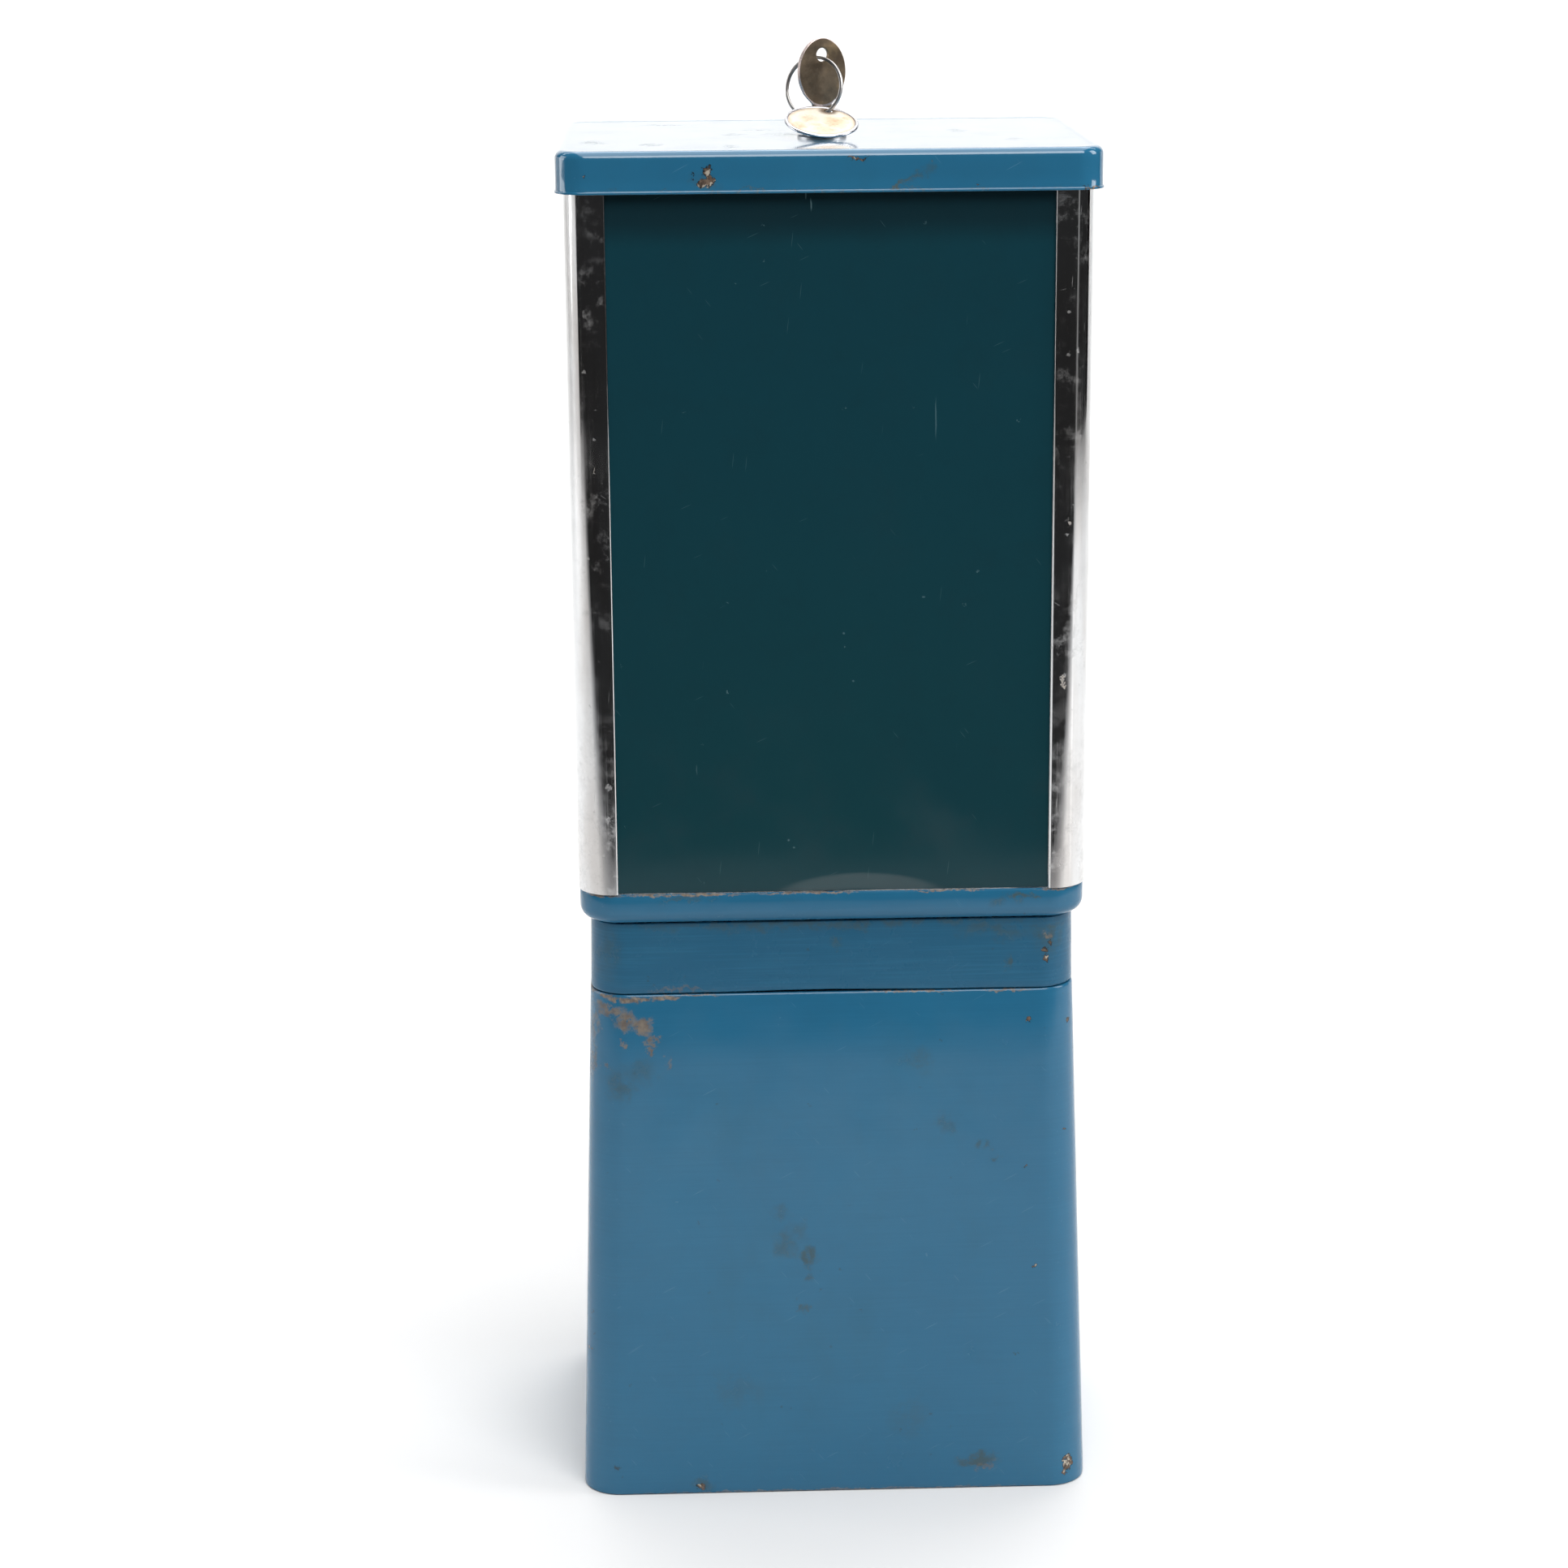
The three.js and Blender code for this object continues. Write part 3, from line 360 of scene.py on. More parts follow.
def teal_panel():
    t = Tree("teal_panel")
    z = t.nt.nodes.new("ShaderNodeSeparateXYZ")
    t.link(t.pos, z.inputs[0])
    base = t.mix(t.ramp(z.outputs["Z"], 0.26, 0.50), (0.0074, 0.0440, 0.0545), (0.0060, 0.0430, 0.0600))
    base = t.mix(t.ramp(t.noise(7.0, 3.0, 0.5), 0.35, 0.7, 0.0, 0.5), base, (0.0068, 0.040, 0.054))
    base = t.mix(t.ramp(t.noise(60.0, 5.0, 0.7), 0.45, 0.75, 0.0, 0.18), base, (0.0068, 0.032, 0.042))
    # painted shadow of the lid: a dark band on the panel just below the lid
    sp = t.nt.nodes.new("ShaderNodeSeparateXYZ")
    t.link(t.shaken(40.0, 3.0), sp.inputs[0])
    base = t.mix(t.ramp(sp.outputs["Z"], 0.497, 0.509, 0.0, 0.62), base, (0.0060, 0.016, 0.021))
    hair = t.math("MAXIMUM", t.hairs(0.5, 12.0, 6, 0.006), t.math("MAXIMUM", t.hairs(0.5, 9.0, 66, 0.004), t.hairs(0.5, 7.0, -38, 0.004)))
    own = t.marks(t.shaken(90.0, 1.2), [
        (-39, 71, 434, 0.28, 3, 8, 0.5, 0.8), (7.3, 71, 513.8, 0.35, 3, 2.4, 0.6, 1.0), (9.0, 71, 517.0, 0.3, 3, 1.4, 0.6, 0.8),
        (-34.6, 71, 366.4, 0.7, 3, 0.4, 0.6, 0.9), (-4.5, 71, 352.7, 0.5, 3, 0.5, 0.6, 0.9), (17, 71, 271.6, 0.5, 3, 0.5, 0.7, 0.9),
        (15, 71, 268.5, 0.5, 3, 0.4, 0.6, 0.9), (52, 71, 300, 0.25, 3, 2.2, 0.6, 0.5), (-8, 71, 334, 0.5, 3, 0.4, 0.6, 0.8)])
    line = t.math("MAXIMUM", t.math("MULTIPLY", hair, 0.55), own)
    col = t.mix(t.math("MULTIPLY", line, 0.55), base, (0.105, 0.200, 0.225))
    col = t.mix(t.math("MULTIPLY", t.specks(5.0, 0.025, 0.2, 0.06), 0.6), col, (0.090, 0.170, 0.190))
    r = t.ramp(t.noise(30.0, 5.0, 0.65), 0.4, 0.78, 0.07, 0.20)
    r = t.math("ADD", r, t.math("MULTIPLY", line, 0.2))
    n = t.bump(t.math("SUBTRACT", t.noise(240.0, 2.0, 0.5), t.math("MULTIPLY", line, 0.7)), 0.10, 0.00003)
    n = t.bump(t.noise(11.0, 2.0, 0.5), 0.22, 0.0006, n)
    d = t.vec("MULTIPLY", t.vec("SUBTRACT", t.shaken(30.0, 1.0), (-0.0105, 0.0712, 0.2460)), (1 / 0.0335, 0.0, 1 / 0.0112))
    dent = t.ramp(t.vec("LENGTH", d), 0.45, 1.10)
    n = t.bump(dent, 1.0, 0.00050, n)
    t.set(Base_Color=col, Roughness=r, Normal=n)
    t.bsdf.inputs["IOR"].default_value = 1.5
    t.bsdf.inputs["Coat Weight"].default_value = 0.1
    t.bsdf.inputs["Coat Roughness"].default_value = 0.05
    return t.mat


def clear_pane():
    t = Tree("clear_pane")
    sm = t.ramp(t.noise(26.0, 5.0, 0.65), 0.5, 0.8, 0.015, 0.11)
    s = t.math("MAXIMUM", t.hairs(0.5, 11.0, 14, 0.01), t.hairs(0.5, 8.0, -62, 0.008))
    t.set(Base_Color=t.mix(t.math("MULTIPLY", s, 0.4), (0.93, 0.965, 0.96), (0.75, 0.78, 0.78)),
          Roughness=t.math("ADD", sm, t.math("MULTIPLY", s, 0.3)),
          Normal=t.bump(t.noise(14.0, 2.0, 0.5), 0.12, 0.0004))
    t.bsdf.inputs["IOR"].default_value = 1.49
    t.bsdf.inputs["Transmission Weight"].default_value = 1.0
    return t.mat


def moulded(name, colour, rough=0.42, grain=650.0):
    t = Tree(name)
    col = t.mix(t.ramp(t.noise(40.0, 4.0, 0.6), 0.3, 0.75, 0.0, 0.5), colour, tuple(c * 0.82 for c in colour))
    r = t.ramp(t.noise(120.0, 3.0, 0.6), 0.3, 0.7, rough * 0.8, rough * 1.2)
    t.set(Base_Color=col, Roughness=r, Normal=t.bump(t.noise(grain, 2.0, 0.6), 0.25, 0.00005))
    return t.mat


def bronze_key():
    t = Tree("bronze_key")
    q = t.vec("SUBTRACT", t.pos, (0.0, 0.0, BOW_Z * MM))
    across = t.math("DIVIDE", t.vec("DOT_PRODUCT", q, (math.cos(KEY_TURN), math.sin(KEY_TURN), 0.0)), 10.0 * MM)
    up = t.math("DIVIDE", t.vec("DOT_PRODUCT", q, (0.0, 0.0, 1.0)), 12.7 * MM)
    oval = t.math("SQRT", t.math("ADD", t.math("MULTIPLY", across, across), t.math("MULTIPLY", up, up)))
    # the bow's rim lightened and smoothed: rubbed bare metal, and a painted highlight along the edge
    rim_wear_and_highlight = t.math("MULTIPLY", t.ramp(oval, 0.966, 0.982), t.ramp(oval, 1.03, 1.06, 1.0, 0.0))
    rim_wear_and_highlight = t.math("MULTIPLY", rim_wear_and_highlight, t.ramp(t.noise(240.0, 4.0, 0.6), 0.30, 0.55, 0.55, 1.0))
    col = t.mix(t.ramp(t.noise(120.0, 5.0, 0.7), 0.35, 0.7), (0.150, 0.110, 0.074), (0.262, 0.194, 0.128))
    worn = t.ramp(t.noise(70.0, 4.0, 0.6), 0.55, 0.72, 0.0, 0.6)
    col = t.mix(worn, col, (0.380, 0.265, 0.140))
    z = t.nt.nodes.new("ShaderNodeSeparateXYZ")
    t.link(t.shaken(300.0, 5.0), z.inputs[0])
    col = t.mix(t.ramp(z.outputs["Z"], 0.540, 0.5475, 0.55, 0.0), col, (0.420, 0.290, 0.120))
    s = t.math("MAXIMUM", t.hairs(0.4, 5.0, 24, 0.05), t.hairs(0.4, 4.0, -50, 0.04))
    col = t.mix(t.math("MULTIPLY", s, 0.4), col, (0.42, 0.35, 0.24))
    col = t.mix(rim_wear_and_highlight, col, (0.640, 0.530, 0.500))
    r = t.ramp(t.noise(140.0, 4.0, 0.6), 0.3, 0.7, 0.30, 0.46)
    r = t.mixf(rim_wear_and_highlight, r, 0.26)
    t.set(Base_Color=col, Roughness=r, Normal=t.bump(t.math("SUBTRACT", t.noise(900.0, 3.0, 0.6), s), 0.35, 0.00005))
    t.bsdf.inputs["Metallic"].default_value = 0.72
    return t.mat


def tag_card(centre, across, down, hole):
    t = Tree("tag_card")
    fibre = t.noise(1400.0, 4.0, 0.7)
    col = t.mix(t.ramp(fibre, 0.3, 0.7), (0.790, 0.690, 0.550), (0.860, 0.790, 0.680))
    spots = []
    for u, v, r, k in ((-5, 1, 5.5, 0.75), (4.5, -3, 4.0, 0.55), (9.5, 3, 3.8, 0.7), (0, 8, 5.0, 0.5), (-10, -2, 2.6, 0.6), (3, 4, 2.5, 0.4)):
        c = centre + across * u + down * v
        spots.append((c.x, c.y, c.z, r, r, r, 0.7, k))
    blot = t.marks(t.shaken(190.0, 9.0), spots)
    col = t.mix(blot, col, (0.720, 0.480, 0.290))
    col = t.mix(t.math("MULTIPLY", blot, t.ramp(t.noise(420.0, 3.0, 0.6), 0.48, 0.66, 0.0, 0.5)), col, (0.360, 0.180, 0.085))
    d = t.vec("LENGTH", t.vec("SUBTRACT", t.shaken(260.0, 2.5), tuple(c * MM for c in centre)))
    col = t.mix(t.ramp(d, 0.0108, 0.0128, 0.0, 0.55), col, (0.420, 0.290, 0.170))
    # brown-black patch round the ring's hole: soiled paper and a painted shadow of the ring
    d = t.vec("LENGTH", t.vec("SUBTRACT", t.shaken(420.0, 1.6), tuple(c * MM for c in hole)))
    col = t.mix(t.ramp(d, 0.0022, 0.0048, 0.92, 0.0), col, (0.150, 0.098, 0.062))
    t.set(Base_Color=col, Roughness=t.ramp(fibre, 0.2, 0.8, 0.55, 0.85), Normal=t.bump(fibre, 0.35, 0.00008))
    return t.mat


def bristles():
    t = Tree("bristles")
    v = t.noise(1.0, 2.0, 0.5, src=t.stretch(2600, 2600, 60))
    t.set(Base_Color=t.mix(t.ramp(v, 0.35, 0.65), (0.01, 0.009, 0.008), (0.06, 0.055, 0.05)),
          Roughness=t.ramp(v, 0.2, 0.8, 0.5, 0.9), Normal=t.bump(v, 0.9, 0.0005))
    return t.mat


BODY_MARKS = dict(
    grime_and_shade=[(14, 72, 112, 5, 8, 5, 0.9, 0.30), (22, 72, 119, 4, 8, 3, 0.9, 0.28), (19, 72, 105, 6, 8, 5, 0.8, 0.45), (11.5, 73, 100, 4.5, 8, 4, 0.8, 0.75),
           (9, 73, 91, 1.8, 6, 2.5, 0.8, 0.5), (13, 73.5, 79, 1.6, 6, 2.2, 0.8, 0.6), (84, 70, 172, 6, 8, 6, 0.9, 0.5), (76, 70, 178, 7, 8, 7, 0.9, 0.35),
           (-33, 70, 180, 7, 8, 5, 0.9, 0.30), (-44, 71, 154, 4, 8, 4, 0.9, 0.35), (-60, 71.4, 145.5, 2.4, 6, 1.6, 0.8, 0.55), (-64, 71.5, 140, 3.0, 6, 1.2, 0.8, 0.5),
           (-56, 75.6, 12, 9, 8, 3.0, 0.8, 0.75), (54, 76, 5, 6, 8, 2.5, 0.8, 0.5), (-30, 75, 30, 9, 8, 8, 0.9, 0.20), (40, 74, 45, 12, 8, 10, 0.9, 0.18),
           (0, -74, 110, 14, 9, 22, 0.9, 0.3), (97, 0, 120, 6, 18, 24, 0.9, 0.35), (-97, 10, 60, 6, 22, 18, 0.9, 0.35)],
    scuffs=[(88, 68, 203.5, 7, 10, 2.4, 0.6, 0.9), (81, 69.6, 199, 6, 8, 4.5, 0.6, 1.0), (74.5, 69.7, 196, 4.5, 8, 3.6, 0.6, 1.0), (71, 70, 190.8, 2.6, 6, 2.6, 0.6, 0.95), (71.6, 70, 186.4, 1.3, 5, 1.6, 0.6, 1.0),
            (65, 70.2, 181, 1.5, 5, 2.6, 0.8, 0.7), (81.6, 70, 189.8, 1.1, 5, 1.2, 0.6, 0.9), (89, 70.3, 180, 1.3, 5, 1.6, 0.7, 0.8), (94.2, 66, 196, 2.4, 9, 9, 0.7, 0.8), (95.2, 64, 180, 1.6, 9, 10, 0.8, 0.6),
            (-60, 75.6, 9.6, 4.6, 6, 1.3, 0.8, 0.7), (96, -30, 206, 3, 16, 3, 0.7, 0.8), (-96, -50, 200, 3, 10, 6, 0.7, 0.8), (30, -72, 205, 9, 6, 3, 0.7, 0.7)],
    chips=[(-76.6, 69.7, 196.6, 1.3, 5, 1.0, 0.5, 0.75), (-93.1, 68, 194.3, 1.3, 6, 1.5, 0.5, 0.75), (-75.1, 71.7, 135.8, 1.0, 5, 0.9, 0.5, 0.6), (-91, 70, 150, 0.7, 5, 0.7, 0.5, 0.6),
           (-79.6, 73, 94.2, 0.9, 5, 0.9, 0.5, 0.6), (-93.8, 74, 9.2, 2.0, 8, 3.2, 0.4, 1.0), (-92.4, 74, 5.6, 1.1, 8, 1.4, 0.4, 1.0), (54, 76, 3.0, 2.2, 6, 0.9, 0.5, 1.0), (98.4, 68, 60, 0.8, 6, 1.6, 0.5, 0.9),
           (97.2, 68, 120, 0.8, 6, 2.2, 0.5, 0.8), (-98, 60, 4, 2.0, 9, 1.6, 0.5, 1.0), (96, -68, 5, 5, 5, 1.6, 0.5, 1.0), (-60, -75, 4, 7, 5, 1.0, 0.5, 0.9)],
    lines=[(91, 68, 208.2, 6, 6, 1.2, 0.5, 1.0), (84, 69.4, 206.9, 7, 4, 1.2, 0.5, 1.0), (76, 69.4, 207.3, 7, 4, 1.1, 0.5, 1.0), (66, 69.4, 208.0, 7, 4, 1.0, 0.5, 1.0), (52, 69.4, 208.8, 8, 3, 0.35, 0.5, 0.8), (-30, 69.4, 208.9, 20, 3, 0.35, 0.5, 0.9),
           (-68, 69.4, 208.6, 10, 3, 0.5, 0.5, 0.8), (94, 40, 208.6, 4, 30, 0.9, 0.5, 0.9), (-94, 0, 208.8, 4, 40, 0.6, 0.5, 0.8), (0, -69, 208.8, 60, 4, 0.5, 0.5, 0.8), (0, 76, 0.3, 90, 4, 0.6, 0.5, 0.5)],
)
KEY_TURN = math.radians(25)
BOW_Z = 0.0
M = {}
M["body_paint"] = enamel("body_paint", brushed=0.35, **BODY_MARKS)
# neck_paint: tone=0.78 darkens the whole neck as painted shade under the tray's overhang, and the full-width band at z
# 237.6 in grime_and_shade is a painted shade line just under the tray
M["neck_paint"] = enamel(
    "neck_paint", brushed=1.0, tone=0.78, rough=0.24, ior=1.33, chips=[(-82.5, 69, 224.5, 1.6, 5, 1.8, 0.5, 0.6), (-83.4, 69, 221.4, 1.0, 5, 1.2, 0.5, 0.6), (-84.4, 69, 227.6, 0.8, 5, 1.6, 0.5, 0.55)],
    grime_and_shade=[(-67, 69, 220, 1.8, 5, 3.2, 0.8, 0.7), (-84, 68, 232, 7, 6, 3, 0.9, 0.7), (-62, 69, 233, 16, 6, 3.2, 0.9, 0.5), (0, 69, 237.6, 98, 5, 2.6, 0.9, 0.55), (-85, 69, 230, 9, 6, 7, 0.9, 0.5), (-1.7, 69, 229, 2.6, 5, 2.4, 0.8, 0.5), (88, 68, 226, 5, 9, 10, 0.9, 0.35)],
    scuffs=[(60, 69, 210.5, 14, 6, 0.9, 0.7, 0.5), (-83, 69, 229.5, 1.2, 5, 2.0, 0.7, 0.8), (93, 20, 222, 5, 20, 4, 0.8, 0.5)])
M["tray_paint"] = enamel(
    "tray_paint", lines=[(58, 72.5, 250.5, 26, 3, 0.55, 0.5, 1.0), (10, 72.5, 250.6, 22, 3, 0.45, 0.5, 0.95), (88, 70, 250.4, 8, 6, 0.6, 0.5, 1.0), (-44, 72.5, 250.6, 18, 3, 0.4, 0.5, 0.9), (-86, 72, 250.4, 8, 5, 0.5, 0.5, 0.8),
                         (0, -72.5, 250.6, 90, 3, 0.45, 0.5, 0.9), (97.8, 0, 250.6, 3, 66, 0.45, 0.5, 0.9), (-97.8, 0, 250.6, 3, 66, 0.45, 0.5, 0.9)],
    grime_and_shade=[(-71, 72.5, 247.8, 6, 4, 1.8, 0.8, 0.9), (-78, 72.5, 248.6, 3, 4, 0.9, 0.7, 0.8), (-64, 72.5, 246.0, 4, 4, 3.0, 0.9, 0.5), (58, 72.5, 249, 12, 4, 1.2, 0.8, 0.5)], brushed=0.2)
M["lid_paint"] = enamel(
    "lid_paint", chips=[(45.2, 76, 526.4, 1.7, 4, 1.9, 0.45, 0.62), (46.6, 76, 522.2, 3.0, 4, 1.7, 0.45, 1.0), (43.9, 76, 523.4, 1.6, 4, 2.0, 0.45, 0.9), (50.7, 76, 525.2, 0.55, 4, 1.2, 0.5, 0.32), (50.8, 76, 523.2, 0.4, 4, 0.45, 0.5, 0.32),
                        (-9.6, 76, 530.7, 3.6, 4, 0.55, 0.5, 0.75), (90.5, 76, 525.1, 0.45, 4, 0.45, 0.5, 0.6), (-53.8, 76, 521.3, 0.5, 4, 0.45, 0.5, 0.6), (-96, 74, 519.4, 4.0, 5, 0.6, 0.5, 0.8),
                        (101, 30, 524, 3, 1.6, 1.8, 0.5, 0.9), (-101, -40, 527, 3, 3.0, 1.2, 0.5, 0.9), (-30, -76, 521, 3.2, 4, 1.4, 0.5, 0.9)],
    grime_and_shade=[(-26, 76, 521.2, 3.6, 4, 1.2, 0.7, 1.0), (-30.5, 76, 523, 2.6, 4, 1.5, 0.8, 0.8), (-34.5, 76, 526, 3.0, 4, 3.2, 0.9, 0.45), (-36.2, 76, 529, 0.9, 4, 0.8, 0.7, 0.7), (46.5, 76, 523, 5, 4, 4, 0.9, 0.35),
           (88, 31, 534, 5, 9, 3, 0.9, 0.8), (66, 45, 534, 3.5, 8, 3, 0.9, 0.7), (36, 55, 534, 3.5, 9, 3, 0.9, 0.6), (14, 0, 534, 10, 9, 3, 0.9, 0.6), (34, -1, 534, 5, 8, 3, 0.9, 0.5), (-53, -10, 534, 4, 12, 3, 0.9, 0.5),
           (-71, 32, 534, 4, 10, 3, 0.9, 0.4), (0, 77, 518.8, 104, 4, 0.4, 0.5, 0.5)],
    scuffs=[(24, -20, 534, 10, 1.6, 3, 0.8, 0.7), (10, 2, 534, 8, 1.2, 3, 0.8, 0.7), (60, -50, 534, 12, 2, 3, 0.8, 0.6)], rough=0.10, gloss=0.7)
M["teal_panel"] = teal_panel()
M["post_metal"] = polished("post_metal", rough=0.05, smudge=0.10, low_wear=0.42, spots=[(-88.3, 73, 331.6, 0.9, 4, 1.6, 0.5, 0.7), (-87.2, 73, 333.6, 0.7, 4, 1.3, 0.5, 0.6), (88.4, 73, 416.4, 0.3, 4, 1.6, 0.5, 0.6), (-89.5, 73, 394, 0.3, 4, 1.8, 0.5, 0.5)], clouds=0.30)
M["chrome"] = polished("chrome", (0.56, 0.57, 0.58), rough=0.05, smudge=0.12, clouds=0.08)
M["lock_satin"] = polished("lock_satin", (0.66, 0.67, 0.69), rough=0.36, smudge=0.12, clouds=0.30)
M["steel"] = plain_steel("steel")
M["sheet_steel"] = plain_steel("sheet_steel", (0.60, 0.61, 0.62), 0.30, (300, 300, 14), 0.08)
M["ring_steel"] = polished("ring_steel", (0.60, 0.59, 0.58), 0.30, 0.2, 1.0, clouds=0.5)
M["brass"] = plain_steel("brass", (0.62, 0.44, 0.18), 0.26, (400, 40, 400), 0.2)
M["clear_pane"] = clear_pane()
M["white_plastic"] = moulded("white_plastic", (0.68, 0.66, 0.60))
M["bristles"] = bristles()


# ------------------------------------------------------------------ mesh helpers
def finish_mesh(ob, angle=32.0):
    me = ob.data
    me.polygons.foreach_set("use_smooth", [True] * len(me.polygons))
    me.set_sharp_from_angle(angle=math.radians(angle))
    me.update()


def new_piece(name, bm_or_me, mat, body, nodes=(), angle=32.0, bevel=None, segs=2):
    if isinstance(bm_or_me, bmesh.types.BMesh):
        bm = bm_or_me
        bmesh.ops.recalc_face_normals(bm, faces=bm.faces)
        me = bpy.data.meshes.new(name)
        bm.to_mesh(me)
        bm.free()
    else:
        me = bm_or_me
        me.name = name
    ob = bpy.data.objects.new(name, me)
    bpy.context.scene.collection.objects.link(ob)
    me.materials.clear()
    me.materials.append(mat)
    finish_mesh(ob, angle)
    if bevel:
        b = ob.modifiers.new("bevel", "BEVEL")
        b.width, b.segments, b.limit_method, b.angle_limit = bevel * MM, segs, "ANGLE", math.radians(angle)
        b.harden_normals = True
        b.use_clamp_overlap = True
    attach(ob, body)
    if nodes:
        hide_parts(*nodes)
    return ob


def rr(w, d, r, segs=10, subs=10):
    """points of a rounded rectangle, anticlockwise, with extra points along the straight sides"""
    r = max(r, 0.3)
    pts = []
    corners = [(w / 2 - r, d / 2 - r, 0), (-w / 2 + r, d / 2 - r, 1), (-w / 2 + r, -d / 2 + r, 2), (w / 2 - r, -d / 2 + r, 3)]
    for k, (cx, cy, q) in enumerate(corners):
        arc = [(cx + r * math.cos((q + i / segs) * math.pi / 2), cy + r * math.sin((q + i / segs) * math.pi / 2)) for i in range(segs + 1)]
        pts += arc
        nx, ny, nq = corners[(k + 1) % 4]
        a = arc[-1]
        b = (nx + r * math.cos(nq * math.pi / 2), ny + r * math.sin(nq * math.pi / 2))
        for i in range(1, subs):
            f = i / subs
            pts.append((a[0] + (b[0] - a[0]) * f, a[1] + (b[1] - a[1]) * f))
    return pts


def ring_loft(rings, closed=True):
    """rings of equal length joined in order; closed joins the last to the first, otherwise both ends are capped"""
    bm = bmesh.new()
    vs = [[bm.verts.new([c * MM for c in p]) for p in ring] for ring in rings]
    n = len(rings[0])
    pairs = list(zip(vs, vs[1:])) + ([(vs[-1], vs[0])] if closed else [])
    for a, b in pairs:
        for i in range(n):
            j = (i + 1) % n
            bm.faces.new((a[i], a[j], b[j], b[i]))
    if not closed:
        bm.faces.new(list(reversed(vs[0])))
        bm.faces.new(vs[-1])
    return bm


def lathe(profile, n=64, centre=(0, 0), axis="Z"):
    """closed profile of (radius, height) turned about an axis; a profile point on the axis is shared"""
    bm = bmesh.new()
    rows = []
    for r, h in profile:
        if r < 1e-6:
            row = [bm.verts.new((0, 0, h * MM))] * n
        else:
            row = [bm.verts.new((r * MM * math.cos(2 * math.pi * i / n), r * MM * math.sin(2 * math.pi * i / n), h * MM)) for i in range(n)]
        rows.append(row)
    loop = list(zip(rows, rows[1:]))
    if profile[0][0] > 1e-6 or profile[-1][0] > 1e-6:
        loop.append((rows[-1], rows[0]))
    for a, b in loop:
        for i in range(n):
            j = (i + 1) % n
            f = []
            for v in (a[i], a[j], b[j], b[i]):
                if v not in f:
                    f.append(v)
            if len(f) > 2:
                bm.faces.new(f)
    if axis == "Y":      # height runs along +Y
        bm.transform(Matrix(((1, 0, 0, 0), (0, 0, 1, 0), (0, -1, 0, 0), (0, 0, 0, 1))))
    elif axis == "X":
        bm.transform(Matrix(((0, 0, 1, 0), (0, 1, 0, 0), (-1, 0, 0, 0), (0, 0, 0, 1))))
    bm.transform(Matrix.Translation(V((centre[0], centre[1], centre[2] if len(centre) > 2 else 0)) * MM))
    return bm


def plate(outline, holes, thick, round_=0.25, segs=3):
    """flat plate in its own X-Y plane with rounded edges and holes, centred on z = 0, as a mesh"""
    cu = bpy.data.curves.new("tmp", "CURVE")
    cu.dimensions, cu.fill_mode = "2D", "BOTH"
    for loop in [outline] + list(holes):
        sp = cu.splines.new("POLY")
        sp.points.add(len(loop) - 1)
        for p, (x, y) in zip(sp.points, loop):
            p.co = (x * MM, y * MM, 0, 1)
        sp.use_cyclic_u = True
    cu.extrude = (thick / 2 - round_) * MM
    cu.bevel_depth, cu.bevel_resolution = round_ * MM, segs
    cu.offset = -round_ * MM
    ob = bpy.data.objects.new("tmp", cu)
    bpy.context.scene.collection.objects.link(ob)
    dg = bpy.context.evaluated_depsgraph_get()
    me = bpy.data.meshes.new_from_object(ob.evaluated_get(dg))
    bpy.data.objects.remove(ob)
    bpy.data.curves.remove(cu)
    bm = bmesh.new()
    bm.from_mesh(me)
    bpy.data.meshes.remove(me)
    bmesh.ops.remove_doubles(bm, verts=bm.verts, dist=2e-6)
    bmesh.ops.dissolve_degenerate(bm, edges=bm.edges, dist=1e-6)
    bmesh.ops.recalc_face_normals(bm, faces=bm.faces)
    return bm


TO_XZ = Matrix(((1, 0, 0, 0), (0, 0, -1, 0), (0, 1, 0, 0), (0, 0, 0, 1)))   # plate's x,y -> X,Z and its z -> -Y


def box_bm(x0, x1, y0, y1, z0, z1):
    bm = bmesh.new()
    bmesh.ops.create_cube(bm, size=1.0)
    bm.transform(Matrix.Translation(V(((x0 + x1) / 2, (y0 + y1) / 2, (z0 + z1) / 2)) * MM) @ Matrix.Diagonal((*(V((x1 - x0, y1 - y0, z1 - z0)) * MM), 1)))
    return bm


def merge(*bms):
    """several shells in one mesh data-block"""
    out = bmesh.new()
    for b in bms:
        me = bpy.data.meshes.new("tmp")
        bmesh.ops.recalc_face_normals(b, faces=b.faces)
        b.to_mesh(me)
        b.free()
        out.from_mesh(me)
        bpy.data.meshes.remove(me)
    return out


def boolean(bm, cutters, op="DIFFERENCE"):
    """bm with each cutter taken away (or joined), as a new bmesh"""
    def temp(b, name):
        me = bpy.data.meshes.new(name)
        bmesh.ops.recalc_face_normals(b, faces=b.faces)
        b.to_mesh(me)
        b.free()
        o = bpy.data.objects.new(name, me)
        bpy.context.scene.collection.objects.link(o)
        return o
    a = temp(bm, "tmp_a")
    made = [a]
    for k, c in enumerate(cutters):
        o = temp(c, "tmp_c%d" % k)
        made.append(o)
        m = a.modifiers.new("b%d" % k, "BOOLEAN")
        m.operation, m.object, m.solver = op, o, "EXACT"
    dg = bpy.context.evaluated_depsgraph_get()
    me = bpy.data.meshes.new_from_object(a.evaluated_get(dg))
    out = bmesh.new()
    out.from_mesh(me)
    bpy.data.meshes.remove(me)
    for o in made:
        d = o.data
        bpy.data.objects.remove(o)
        bpy.data.meshes.remove(d)
    bmesh.ops.remove_doubles(out, verts=out.verts, dist=1e-6)
    return out


def circ(r, n=32, x=0.0, y=0.0):
    return [(x + r * math.cos(2 * math.pi * i / n), y + r * math.sin(2 * math.pi * i / n)) for i in range(n)]


